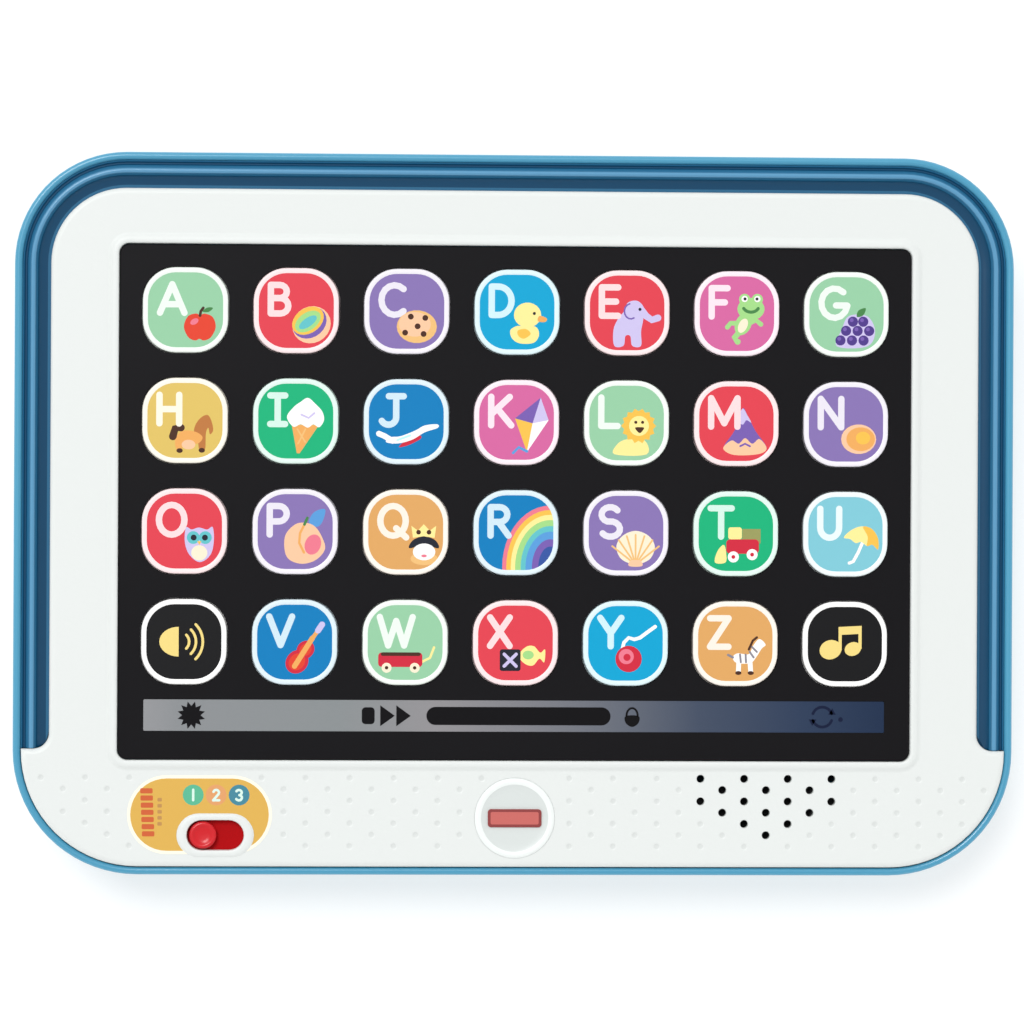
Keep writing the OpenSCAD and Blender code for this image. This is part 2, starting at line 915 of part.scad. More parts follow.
module battery_springs() {
    turns = 3;
    reach = bay_w - 2 * plate_t - cell_len;
    color([0.75, 0.75, 0.78])
        for (n = [0:2])
            translate([0, bay_y + (n - 1) * cell_pitch, cell_z])
                rotate([0, (n == 1 ? 1 : -1) * 90, 0])
                    translate([0, 0, bay_w / 2 - plate_t - reach])
                        tube([
                            for (k = [0:turns * 14])
                                let (t = k / (turns * 14), r = 3 + 2 * t, a = 360 * turns * t)
                                [r * cos(a), r * sin(a), 0.45 + t * (reach - 0.9)]
                        ], 0.4, 6);
}

module battery_contacts() {
    // Each plate: the end it stands at, its middle cell and how many cells it joins
    plates = [[-1, 0.5, 2], [-1, 2, 1], [1, 0, 1], [1, 1.5, 2]];
    tab_w = 2.4;
    color([0.8, 0.8, 0.82]) {
        for (p = plates)
            translate([
                p[0] * (bay_w / 2 - plate_t / 2),
                bay_y + (p[1] - 1) * cell_pitch,
                cell_z
            ])
                cube([plate_t, (p[2] - 1) * cell_pitch + 11, 11], center = true);
        for (y = [-1, 1])
            translate([-bay_w / 2 - 1.8, bay_y + y * (bay_h / 2 - 4), tab_z])
                cube([4, tab_w, 0.5], center = true);
    }
}

// ---------------------------------------------------------------- fasteners and wires

module case_screws() {
    color([0.7, 0.7, 0.72])
        for (at = case_screw_at)
            translate([at.x, at.y, case_seat - 1.8])
                screw(2.9, 1.8, bezel_z - case_seat - 2);
}

module board_screws() {
    color([0.7, 0.7, 0.72]) {
        for (at = board_screw_at)
            translate([at.x, at.y, board_z - 1.4])
                screw(2.8, 1.4, bezel_z - board_z - 1.6);
        for (at = switch_screw_at)
            translate([at.x, at.y, switch_board_top - 1.2 - 1.4])
                screw(2.5, 1.4, bezel_z - switch_board_top - 0.4);
        for (side = [-1, 1])
            translate([
                speaker_x + side * retainer_reach,
                speaker_y - 2,
                ledge_z - 1.1 - 1.4 - 1.4
            ])
                screw(2.5, 1.4, bezel_z - ledge_z + 0.9);
    }
}

module wires(routes) {
    for (route = routes)
        tube(smooth(route, 4), WIRE_R);
}

module battery_leads() {
    color([0.75, 0.15, 0.15])
        wires(BATTERY_ROUTES);
}

module speaker_leads() {
    color([0.85, 0.7, 0.2])
        wires(SPEAKER_ROUTES);
}

module switch_leads() {
    color([0.3, 0.45, 0.75])
        wires(SWITCH_ROUTES);
}

// ---------------------------------------------------------------- the tablet

rear_shell();
light_rim();
front_bezel();
screen_panel();
status_bar();
mode_label();
medallion();
medallion_badge();
mode_slider();
switch_lever();
mode_switch();
switch_board();
keypad();
circuit_board();
board_parts();
rim_leds();
speaker();
speaker_retainer();
battery_door();
door_screws();
cell(0, 1);  // battery_1
cell(1, -1);  // battery_2
cell(2, 1);  // battery_3
battery_springs();
battery_contacts();
case_screws();
board_screws();
battery_leads();
speaker_leads();
switch_leads();
for (n = [0:27])
    button_cap(n);
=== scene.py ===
"""Looks of the toy tablet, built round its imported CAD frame. Sizes are in millimetres."""

import math

import bpy
import numpy as np
from mathutils import Matrix, Vector
from mathutils.geometry import delaunay_2d_cdt


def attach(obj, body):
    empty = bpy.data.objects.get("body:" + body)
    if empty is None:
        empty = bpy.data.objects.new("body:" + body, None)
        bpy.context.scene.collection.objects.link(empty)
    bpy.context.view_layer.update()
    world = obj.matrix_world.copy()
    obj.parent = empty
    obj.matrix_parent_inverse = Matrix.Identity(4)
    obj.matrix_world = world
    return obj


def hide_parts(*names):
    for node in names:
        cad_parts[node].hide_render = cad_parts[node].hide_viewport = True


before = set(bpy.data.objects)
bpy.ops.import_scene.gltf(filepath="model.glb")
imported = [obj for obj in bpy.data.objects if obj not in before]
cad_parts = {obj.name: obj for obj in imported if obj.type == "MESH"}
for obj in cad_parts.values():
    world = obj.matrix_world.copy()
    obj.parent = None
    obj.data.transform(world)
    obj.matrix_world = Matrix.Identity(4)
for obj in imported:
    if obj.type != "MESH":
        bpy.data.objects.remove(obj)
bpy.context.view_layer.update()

scene = bpy.context.scene
MM = 0.001

# Sizes that the frame's own source gives, X across, Y up the tablet, Z out of its front
HALF_W, HALF_H = 125.0, 90.0
TOP_R, CHIN_R = 27.8, 31.0
RIM_BAND, RIM_END_Y, RIM_CORNER = 9.1, -58.5, 4.0
RIM_IN, RIM_OUT, RIM_Z = 2.06, 9.02, 20.0
GAP = 0.15
SCREEN_W, SCREEN_H, SCREEN_Y, SCREEN_R = 198.0, 128.5, 2.9, 2.5
PANEL_Z, PANEL_TOP = 24.6, 26.6
BEZEL_Z, BEZEL_TOP, LIP_TOP = 25.2, 27.4, 28.0
CAP_Z, CAP_TOP, CAP_W, CAP_R = 23.3, 27.6, 21.2, 8.2
BORDER = 1.28
PITCH, BUTTONS_Y = 27.5, 9.35
BAR_W, BAR_H, BAR_Y = 185.0, 7.8, -50.2
MODE_X, MODE_Y, WINDOW_W, WINDOW_H, COLLAR_RIM, COLLAR_TOP = -74.5, -80.0, 14.2, 7.5, 2.2, 27.8
KNOB_X, KNOB_R = -77.6, 3.4
LABEL_X, LABEL_Y, LABEL_W, LABEL_H = -78.4, -74.9, 34.4, 18.0
MEDAL_Y, MEDAL_R = -75.6, 10.0
SPEAKER_X, SPEAKER_Y = 62.9, -71.8
HOLE_R, HOLE_X, HOLE_Y = 1.0, 10.95, 2.82
TOP_HOLES_UP = 6.1
SEAT_DEEP = 1.0
FLANGE_OUT, FLANGE_TALL = 1.2, 1.2
BADGE_W, BADGE_H, BADGE_TALL = 13.4, 4.5, 0.45
CARRIER_Z, CARRIER_TOP, CARRIER_W, CARRIER_H = 23.9, 25.1, 21.2, 9.0

# Sizes of the details that only show here
EDGE_R, LIP_OUT = 1.3, 2.6
DENT_DEEP, ART_DEEP = 0.14, 0.12
# Edges sharper than this many degrees stay crisp
SHARP_ANGLE = 38


# ---------------------------------------------------------------- materials


def linear(rgb):
    """A 0 to 255 colour as the shader wants it"""
    out = []
    for c in rgb:
        c /= 255
        out.append(c / 12.92 if c <= 0.04045 else ((c + 0.055) / 1.055) ** 2.4)
    return (*out, 1.0)


def mixed(a, b, t):
    """Colour a share t of the way from a to b"""
    return tuple(x + (y - x) * t for x, y in zip(a, b))


def finish(name, rgb, rough=0.35, coat=0.0, grain=0.15, scale=1500.0, level=0.5, metal=0.0):
    """A material with a fine grain in its surface. Its colour is plain, so that it stays crisp."""
    mat = bpy.data.materials.new(name)
    mat.use_nodes = True
    nodes, links = mat.node_tree.nodes, mat.node_tree.links
    shader = nodes["Principled BSDF"]
    shader.inputs["Base Color"].default_value = linear(rgb)
    shader.inputs["Roughness"].default_value = rough
    shader.inputs["Metallic"].default_value = metal
    shader.inputs["Specular IOR Level"].default_value = level
    shader.inputs["Coat Weight"].default_value = coat
    shader.inputs["Coat Roughness"].default_value = 0.12
    coords = nodes.new("ShaderNodeTexCoord")
    noise = nodes.new("ShaderNodeTexNoise")
    noise.inputs["Scale"].default_value = scale
    noise.inputs["Detail"].default_value = 2.0
    bump = nodes.new("ShaderNodeBump")
    bump.inputs["Strength"].default_value = grain
    bump.inputs["Distance"].default_value = 0.0001
    links.new(coords.outputs["Object"], noise.inputs["Vector"])
    links.new(noise.outputs["Fac"], bump.inputs["Height"])
    links.new(bump.outputs["Normal"], shader.inputs["Normal"])
    return mat


def graded(mat, axis, stops):
    """Colours a material along one axis of the tablet, from (millimetres, colour) stops"""
    nodes, links = mat.node_tree.nodes, mat.node_tree.links
    low, high = stops[0][0], stops[-1][0]
    split = nodes.new("ShaderNodeSeparateXYZ")
    spread = nodes.new("ShaderNodeMapRange")
    spread.inputs["From Min"].default_value = low * MM
    spread.inputs["From Max"].default_value = high * MM
    ramp = nodes.new("ShaderNodeValToRGB")
    elements = ramp.color_ramp.elements
    while len(elements) < len(stops):
        elements.new(0.5)
    for element, (at, rgb) in zip(elements, stops):
        element.position = (at - low) / (high - low)
        element.color = linear(rgb)
    links.new(nodes["Texture Coordinate"].outputs["Object"], split.inputs["Vector"])
    links.new(split.outputs[axis], spread.inputs["Value"])
    links.new(spread.outputs["Result"], ramp.inputs["Fac"])
    links.new(ramp.outputs["Color"], nodes["Principled BSDF"].inputs["Base Color"])
    return mat


# White of the buttons' borders and letters, and how much of the face's colour shows in each
PAPER, EDGE_TINT, WORD_TINT = (252, 251, 250), 0.13, 0.19
# Printed colours of the buttons' faces
FACES = {
    "lt_green": (148, 201, 162),
    "red": (220, 64, 78),
    "purple": (133, 113, 174),
    "cyan": (0, 160, 206),
    "pink": (209, 101, 157),
    "yellow": (219, 189, 99),
    "green": (20, 175, 119),
    "blue": (0, 122, 184),
    "orange": (219, 163, 96),
    "lt_blue": (126, 196, 210),
    "black": (14, 14, 17),
}
# Printed colours of the pictures
INKS = {
    "white": (250, 248, 246),
    "cream": (245, 232, 205),
    "apple": (222, 66, 44),
    "leaf": (70, 130, 72),
    "mint": (160, 214, 134),
    "lemon": (250, 232, 150),
    "straw": (238, 214, 130),
    "gold": (240, 190, 78),
    "amber": (234, 168, 92),
    "peach": (246, 196, 158),
    "biscuit": (236, 188, 120),
    "brown": (186, 118, 62),
    "dark": (72, 42, 30),
    "ink": (30, 34, 46),
    "lilac": (202, 192, 232),
    "violet": (118, 92, 172),
    "grape": (78, 58, 134),
    "sky": (88, 154, 214),
    "navy": (52, 84, 158),
    "teal": (96, 190, 196),
    "ruby": (204, 40, 62),
    "rose": (232, 120, 140),
    "grey": (136, 132, 142),
    "olive": (150, 152, 92),
    "ice": (186, 242, 238),
}
# What the rim's three blues share. The middle blue is the rim's own; the darker one is painted
# shade in its grooves, the lighter one a painted highlight along its ridge.
CLEAR = {"rough": 0.22, "grain": 0.1, "scale": 300, "coat": 0.2, "level": 0.3}
made = {}


def ink(name):
    """The material of a colour, made once. face_, edge_ and word_ give a button's colours."""
    if name not in made:
        kind, _, tone = name.partition("_")
        if kind == "face":
            rgb = FACES[tone]
        elif kind == "edge":
            rgb = mixed(PAPER, FACES[tone], 0.0 if tone == "black" else EDGE_TINT)
        elif kind == "word":
            rgb = mixed(PAPER, FACES[tone], WORD_TINT)
        else:
            rgb = INKS[name]
        made[name] = finish(name, rgb, rough=0.32, grain=0.05, level=0.22)
    return made[name]


made.update(
    bezel_white=finish(
        "bezel_white", (224, 228, 226), rough=0.42, grain=0.25, scale=1200, level=0.4
    ),
    # Painted shade: the inner part of each dimple is coloured a darker white than the bezel.
    bezel_dent=finish(
        "bezel_dent", (214, 218, 216), rough=0.5, grain=0.25, scale=1200, level=0.3
    ),
    shell_blue=finish("shell_blue", (70, 152, 188), rough=0.3, grain=0.2, scale=1400, coat=0.3),
    # The rim's darker blue is painted shade for its grooves, its lighter blue a painted highlight
    # for its ridge.
    rim_dark=finish("rim_dark", (10, 70, 105), **CLEAR),
    rim_blue=finish("rim_blue", (46, 110, 148), **CLEAR),
    rim_lit=finish("rim_lit", (90, 150, 188), **CLEAR),
    panel_black=finish("panel_black", (19, 18, 21), rough=0.3, grain=0.06, scale=500, level=0.12),
    bar_glass=finish("bar_glass", (120, 122, 128), rough=0.3, grain=0.05, level=0.1),
    bar_black=finish("bar_black", (17, 16, 19), rough=0.3, grain=0.05, level=0.1),
    bar_blue=finish("bar_blue", (24, 32, 58), rough=0.3, grain=0.05, level=0.1),
    label_yellow=finish("label_yellow", (218, 172, 74), rough=0.35, grain=0.08),
    label_edge=finish("label_edge", (252, 246, 226), rough=0.35, grain=0.08),
    label_orange=finish("label_orange", (204, 90, 38), rough=0.35, grain=0.08),
    label_tan=finish("label_tan", (188, 138, 74), rough=0.35, grain=0.08),
    dial_green=finish("dial_green", (84, 180, 142), rough=0.35, grain=0.08),
    dial_peach=finish("dial_peach", (222, 156, 98), rough=0.35, grain=0.08),
    dial_teal=finish("dial_teal", (56, 130, 150), rough=0.35, grain=0.08),
    dial_light=finish("dial_light", (214, 240, 228), rough=0.35, grain=0.08),
    medal_white=finish("medal_white", (238, 243, 241), rough=0.3, grain=0.1),
    # The medallion's grey is painted shade in its dish.
    medal_grey=finish("medal_grey", (213, 219, 217), rough=0.3, grain=0.1),
    badge_red=finish("badge_red", (198, 100, 94), rough=0.3, grain=0.08),
    badge_edge=finish("badge_edge", (140, 56, 56), rough=0.3, grain=0.08),
    knob_red=finish("knob_red", (206, 24, 34), rough=0.3, grain=0.1, coat=0.15, level=0.35),
    slide_red=finish("slide_red", (178, 4, 12), rough=0.45, grain=0.1, level=0.08),
    part_black=finish("part_black", (30, 30, 32), rough=0.5, grain=0.2),
    board_green=finish("board_green", (30, 104, 66), rough=0.4, grain=0.4, scale=400),
    keypad_rubber=finish("keypad_rubber", (190, 196, 200), rough=0.6, grain=0.2),
    led_clear=finish("led_clear", (240, 238, 214), rough=0.2, grain=0.05),
    steel=finish("steel", (196, 198, 202), rough=0.3, grain=0.1, metal=1.0),
    cone_grey=finish("cone_grey", (58, 58, 62), rough=0.7, grain=0.4, scale=900),
    cell_wrap=finish("cell_wrap", (52, 60, 70), rough=0.3, grain=0.05, metal=0.3),
    wire_red=finish("wire_red", (190, 40, 40), rough=0.4, grain=0.05),
    wire_yellow=finish("wire_yellow", (216, 180, 52), rough=0.4, grain=0.05),
    wire_blue=finish("wire_blue", (70, 112, 190), rough=0.4, grain=0.05),
)
# The bar's grey is its own print; the blue that deepens towards its right end is a painted
# reflection.
graded(
    made["bar_glass"],
    "X",
    [
        (-92, (145, 146, 149)),
        (-84, (137, 140, 143)),
        (-44, (135, 140, 142)),
        (-20, (143, 141, 144)),
        (25, (100, 105, 116)),
        (46, (68, 78, 97)),
        (72, (48, 62, 87)),
        (92, (35, 50, 76)),
    ],
)
# Painted highlight: the shell is coloured a lighter cyan up its walls and darker at its top,
# standing in for light glowing along its edges.
graded(
    made["shell_blue"],
    "Z",
    [(0, (100, 186, 213)), (22, (100, 186, 213)), (24.5, (74, 156, 190)), (28, (66, 148, 182))],
)


# ---------------------------------------------------------------- outlines in the plane


def arc(cx, cy, rx, ry, start, end, n=12):
    """Points along an elliptical arc, its angles in degrees"""
    turn = np.radians(np.linspace(start, end, n + 1))
    return [(cx + rx * math.cos(a), cy + ry * math.sin(a)) for a in turn]


def ell(cx, cy, rx, ry=None, tilt=0.0, n=22):
    """Circle or ellipse of n points"""
    ry = rx if ry is None else ry
    c, s = math.cos(math.radians(tilt)), math.sin(math.radians(tilt))
    ring = arc(0, 0, rx, ry, 0, 360, n)[:-1]
    return [(cx + x * c - y * s, cy + x * s + y * c) for x, y in ring]


def box(x0, y0, x1, y1):
    return [(x0, y0), (x1, y0), (x1, y1), (x0, y1)]


def round_box(w, h, r, cx=0.0, cy=0.0, n=10):
    """Rectangle with round corners, anticlockwise from its right side"""
    x, y = w / 2 - r, h / 2 - r
    return [
        p
        for sx, sy, a in ((1, 1, 0), (-1, 1, 90), (-1, -1, 180), (1, -1, 270))
        for p in arc(cx + sx * x, cy + sy * y, r, r, a, a + 90, n)
    ]


def pill(w, h, cx, cy, n=14):
    """Bar with half-round ends"""
    return arc(cx + (w - h) / 2, cy, h / 2, h / 2, -90, 90, n) + arc(
        cx - (w - h) / 2, cy, h / 2, h / 2, 90, 270, n
    )


def gear(cx, cy, r0, r1, n):
    """Disc with n pointed rays, its points r0 and r1 out by turns"""
    out = []
    for k in range(2 * n):
        r, a = (r1 if k % 2 else r0), k * math.pi / n
        out.append((cx + r * math.cos(a), cy + r * math.sin(a)))
    return out


def blob(points, steps=5):
    """Smooth closed curve through the points"""
    p = np.array(points, float)
    out = []
    for k in range(len(p)):
        a, b, c, d = (p[(k + j) % len(p)] for j in (-1, 0, 1, 2))
        for t in np.arange(steps) / steps:
            out.append(
                0.5
                * (
                    2 * b
                    + (c - a) * t
                    + (2 * a - 5 * b + 4 * c - d) * t * t
                    + (3 * b - a - 3 * c + d) * t**3
                )
            )
    return [tuple(q) for q in out]


def stroke(path, w):
    """Outline of a line w wide with round ends"""
    p = np.array(path, float)
    way = np.gradient(p, axis=0)
    way /= np.linalg.norm(way, axis=1)[:, None]
    side = np.stack([-way[:, 1], way[:, 0]], 1) * w / 2
    first = math.degrees(math.atan2(side[0, 1], side[0, 0]))
    last = math.degrees(math.atan2(side[-1, 1], side[-1, 0]))
    tip = arc(*p[-1], w / 2, w / 2, last, last - 180, 8)[1:-1]
    tail = arc(*p[0], w / 2, w / 2, first + 180, first, 8)[1:-1]
    return [tuple(q) for q in p + side] + tip + [tuple(q) for q in (p - side)[::-1]] + tail


def bezel_loop(d, n=18):
    """Outline of the bezel, d in from its edge: narrow beside the rim, full width at the chin"""
    corner = RIM_CORNER + d
    x = HALF_W - RIM_BAND - d
    y = RIM_END_Y - GAP - d
    rt = TOP_R - RIM_BAND - d
    rc = CHIN_R - 2 - GAP - d
    cx, cy = HALF_W - CHIN_R, CHIN_R - HALF_H
    start = math.degrees(math.asin(max(-1.0, min(1.0, (y - cy) / rc)))) if y < cy else 0.0
    right = [(cx + rc * math.cos(math.radians(start)), y)]
    right += arc(x + corner, y + corner, corner, corner, 270, 180, 10)
    right += arc(HALF_W - TOP_R, HALF_H - TOP_R, rt, rt, 0, 90, n)
    chin = arc(cx, cy, rc, rc, -90, start, n)[:-1]
    half = chin + right
    return half + [(-px, py) for px, py in reversed(half)]


def screen_loop(e):
    """Outline of the panel's opening, e out from its edge"""
    return round_box(SCREEN_W + 2 * e, SCREEN_H + 2 * e, SCREEN_R + e, 0, SCREEN_Y, 8)


def within(loop, spots):
    """True for each spot that the loop goes round"""
    p = np.array(loop, float)
    q = np.roll(p, -1, axis=0)
    x, y = spots[:, 0][:, None], spots[:, 1][:, None]
    side = (q[:, 0] - p[:, 0]) * (y - p[:, 1]) - (x - p[:, 0]) * (q[:, 1] - p[:, 1])
    up = (p[:, 1] <= y) & (q[:, 1] > y) & (side > 0)
    down = (p[:, 1] > y) & (q[:, 1] <= y) & (side < 0)
    return (up.sum(1) - down.sum(1)) != 0


# ---------------------------------------------------------------- meshes


class Build:
    """Faces of one mesh, each with its material and whether it is part of a curved surface"""

    def __init__(self):
        self.verts, self.faces, self.slots, self.curved, self.inks = [], [], [], [], []
        self.index = {}

    def vert(self, x, y, z):
        key = (round(x, 4), round(y, 4), round(z, 4))
        if key not in self.index:
            self.index[key] = len(self.verts)
            self.verts.append(key)
        return self.index[key]

    def face(self, points, name, curved=False):
        ids = []
        for p in points:
            v = self.vert(*p)
            if v not in ids:
                ids.append(v)
        if len(ids) > 2:
            if name not in self.inks:
                self.inks.append(name)
            self.faces.append(ids)
            self.slots.append(self.inks.index(name))
            self.curved.append(curved)

    def loft(self, loops, names, closed=True):
        """Skin between loops of (points, z). names gives each band's material, or one for all."""
        for k in range(len(loops) - 1):
            (a, za), (b, zb) = loops[k], loops[k + 1]
            name = names if isinstance(names, str) else names[k]
            for i in range(len(a) if closed else len(a) - 1):
                j = (i + 1) % len(a)
                self.face([(*a[i], za), (*a[j], za), (*b[j], zb), (*b[i], zb)], name, True)

    def flat(self, z, outer, holes=(), base="bezel_white", shapes=(), up=True):
        """Level face inside outer and outside the holes. The last shape over a spot colours it."""
        loops = [outer, *holes, *(s for _, s in shapes)]
        points, edges = [], []
        for loop in loops:
            first, n = len(points), len(loop)
            points += [(float(p[0]), float(p[1])) for p in loop]
            edges += [(first + k, first + (k + 1) % n) for k in range(n)]
        spots, _, faces, origin, _, _ = delaunay_2d_cdt(
            [Vector(p) for p in points], edges, [], 0, 1e-5
        )
        spots = [points[o[0]] if o else tuple(s) for s, o in zip(spots, origin)]
        middles = np.array([np.mean([spots[i] for i in f], axis=0) for f in faces])
        keep = within(outer, middles)
        for hole in holes:
            keep &= ~within(hole, middles)
        inks = np.array([base] * len(faces), dtype=object)
        for name, shape in shapes:
            inks[within(shape, middles)] = name
        for f, wanted, name in zip(faces, keep, inks):
            if wanted:
                ring = [(*spots[i], z) for i in f]
                self.face(ring if up else ring[::-1], name)

    def plate(self, z0, z1, outer, base, shapes=()):
        """Thin printed plate"""
        self.flat(z1, outer, (), base, shapes)
        self.flat(z0, outer, (), base, (), False)
        self.loft([(outer, z0), (outer, z1)], base)

    def piece(self, name, body, slot, *nodes):
        """The finished mesh, riding on a body, in the place of the nodes named"""
        mesh = bpy.data.meshes.new(name)
        mesh.from_pydata([tuple(c * MM for c in v) for v in self.verts], [], self.faces)
        for n in self.inks:
            mesh.materials.append(ink(n))
        mesh.set_sharp_from_angle(angle=math.radians(SHARP_ANGLE))
        mesh.polygons.foreach_set("material_index", self.slots)
        mesh.polygons.foreach_set("use_smooth", self.curved)
        mesh.update()
        obj = bpy.data.objects.new(name, mesh)
        scene.collection.objects.link(obj)
        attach(obj, body)
        if nodes:
            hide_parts(*nodes)
        return obj


def rounded(r, n=6):
    """(distance in, distance down) along a quarter turn from a side up to a level top"""
    return [(r - r * math.cos(a), r - r * math.sin(a)) for a in np.linspace(0, math.pi / 2, n + 1)]


# ---------------------------------------------------------------- bezel


def sound_holes():
    """Places of the sound holes, row by row from the top"""
    counts = [4, 3, 4, 3, 2, 1]
    return [
        (SPEAKER_X + (k - (count - 1) / 2) * HOLE_X, SPEAKER_Y + TOP_HOLES_UP - row * HOLE_Y)
        for row, count in enumerate(counts)
        for k in range(count)
    ]


def dimples():
    """Places of the shallow dimples on the chin, in the sound holes' own lattice"""
    edge = bezel_loop(LIP_OUT)
    label = pill(LABEL_W + 4.6, LABEL_H + 4.6, LABEL_X, LABEL_Y)
    collar = pill(WINDOW_W + 8, WINDOW_H + 6, MODE_X, MODE_Y)
    top_y = SPEAKER_Y + TOP_HOLES_UP
    spots = []
    for col in range(-40, 30):
        for row in range(-8, 8):
            x = SPEAKER_X + col * HOLE_X / 2
            y = top_y - row * 2 * HOLE_Y - (col % 2 == 0) * HOLE_Y
            spots.append((x, y))
    places = np.array(spots)
    keep = within(edge, places) & (places[:, 1] < -64.4)
    keep &= ~within(label, places) & ~within(collar, places)
    keep &= np.hypot(places[:, 0], places[:, 1] - MEDAL_Y) > MEDAL_R + 2.2
    for hole in sound_holes():
        keep &= np.hypot(places[:, 0] - hole[0], places[:, 1] - hole[1]) > 1.5
    return [tuple(p) for p in places[keep]]


def make_bezel():
    b = Build()
    white = "bezel_white"
    rim = [(bezel_loop(0), BEZEL_Z)]
    rim += [(bezel_loop(d), BEZEL_TOP - down) for d, down in rounded(EDGE_R)]
    b.loft(rim, white)

    lip = [(LIP_OUT, BEZEL_TOP), (2.2, BEZEL_TOP + 0.08)]
    lip += [(1.9, BEZEL_TOP + 0.3), (1.6, BEZEL_TOP + 0.48)]
    lip += [(1.25, LIP_TOP - 0.03), (0.9, LIP_TOP), (0.5, LIP_TOP), (0.25, LIP_TOP - 0.08)]
    lip += [(0.08, LIP_TOP - 0.25), (0, LIP_TOP - 0.5), (0, PANEL_Z)]
    b.loft([(screen_loop(e), z) for e, z in lip], white)

    window = [(COLLAR_RIM + 0.35, BEZEL_TOP), (COLLAR_RIM - 0.1, BEZEL_TOP + 0.28)]
    window += [(COLLAR_RIM - 0.5, COLLAR_TOP), (0.5, COLLAR_TOP), (0.15, COLLAR_TOP - 0.1)]
    window += [(0, COLLAR_TOP - 0.35), (0, BEZEL_Z)]
    collar = []
    for e, z in window:
        h = WINDOW_H + 1.35 * e
        collar.append((pill(WINDOW_W + 2 * e, h, MODE_X, MODE_Y), z))
    b.loft(collar, white)

    seat = ell(0, MEDAL_Y, MEDAL_R + 0.05, n=64)
    b.loft([(seat, BEZEL_TOP), (seat, BEZEL_TOP - SEAT_DEEP)], white)
    b.flat(BEZEL_TOP - SEAT_DEEP, seat, base=white)

    holes = [ell(x, y, HOLE_R, n=20) for x, y in sound_holes()]
    mouths = [ell(x, y, HOLE_R + 0.15, n=20) for x, y in sound_holes()]
    for mouth, hole in zip(mouths, holes):
        b.loft([(mouth, BEZEL_TOP), (hole, BEZEL_TOP - 0.15), (hole, BEZEL_Z)], white)

    rings = []
    dent = ((0.95, 0), (0.7, 0.07), (0.3, DENT_DEEP))
    for x, y in dimples():
        bowl = [(ell(x, y, r, n=12), BEZEL_TOP - down) for r, down in dent]
        rings.append(bowl[0][0])
        # The inner band and floor of each dimple carry the painted shade.
        b.loft(bowl, [white, "bezel_dent"])
        b.face([(*p, BEZEL_TOP - DENT_DEEP) for p in bowl[-1][0]], "bezel_dent", True)

    b.flat(
        BEZEL_TOP,
        bezel_loop(EDGE_R),
        [screen_loop(LIP_OUT), collar[0][0], seat, *mouths, *rings],
        white,
    )
    b.flat(BEZEL_Z, bezel_loop(0), [screen_loop(0), collar[-1][0], *holes], white, (), False)
    b.piece("bezel", "case", "bezel_white", "front_bezel")


# ---------------------------------------------------------------- light rim


def rim_path(d, n=16):
    """Line round the top of the case, d in from its edge, from the left end to the right end"""
    w, h, r = HALF_W - d, HALF_H - d, TOP_R - d
    into = d - (RIM_OUT - RIM_CORNER)
    lift = RIM_CORNER - math.sqrt(max(RIM_CORNER**2 - into**2, 0)) if into > 0 else 0
    end_y = RIM_END_Y + lift
    right = [(w, end_y), *arc(w - r, h - r, r, r, 0, 90, n)]
    return right + [(-x, y) for x, y in reversed(right)]


def make_rim():
    b = Build()
    # Along this section the darker blue in the grooves is painted shade and the lighter blue on the
    # ridge is a painted highlight.
    section = [
        (RIM_IN, RIM_Z, "rim_blue"),
        (RIM_IN, 24.9, "rim_blue"),
        (2.2, 25.0, "rim_blue"),
        (2.4, 24.8, "rim_dark"),
        (2.7, 24.5, "rim_dark"),
        (3.0, 24.5, "rim_dark"),
        (3.3, 24.8, "rim_blue"),
        (3.6, 25.3, "rim_blue"),
        (3.9, 25.7, "rim_blue"),
        (4.2, 26.0, "rim_lit"),
        (4.6, 26.15, "rim_lit"),
        (4.9, 26.1, "rim_lit"),
        (5.2, 25.9, "rim_blue"),
        (5.5, 25.55, "rim_blue"),
        (5.8, 25.1, "rim_dark"),
        (6.2, 24.7, "rim_dark"),
        (6.8, 24.4, "rim_dark"),
        (7.6, 24.25, "rim_dark"),
        (8.2, 24.2, "rim_blue"),
        (RIM_OUT, 24.2, "rim_blue"),
        (RIM_OUT, RIM_Z, "rim_dark"),
    ]
    lines = [(rim_path(d), z) for d, z, _ in section]
    b.loft(lines, [name for _, _, name in section], closed=False)
    b.loft([lines[-1], lines[0]], "rim_dark", closed=False)
    for end in (0, -1):
        cap = [(*line[end], z) for line, z in lines]
        b.face(cap if end else cap[::-1], "rim_dark")
    b.piece("rim", "case", "rim_blue", "light_rim")


# ---------------------------------------------------------------- letters and pictures

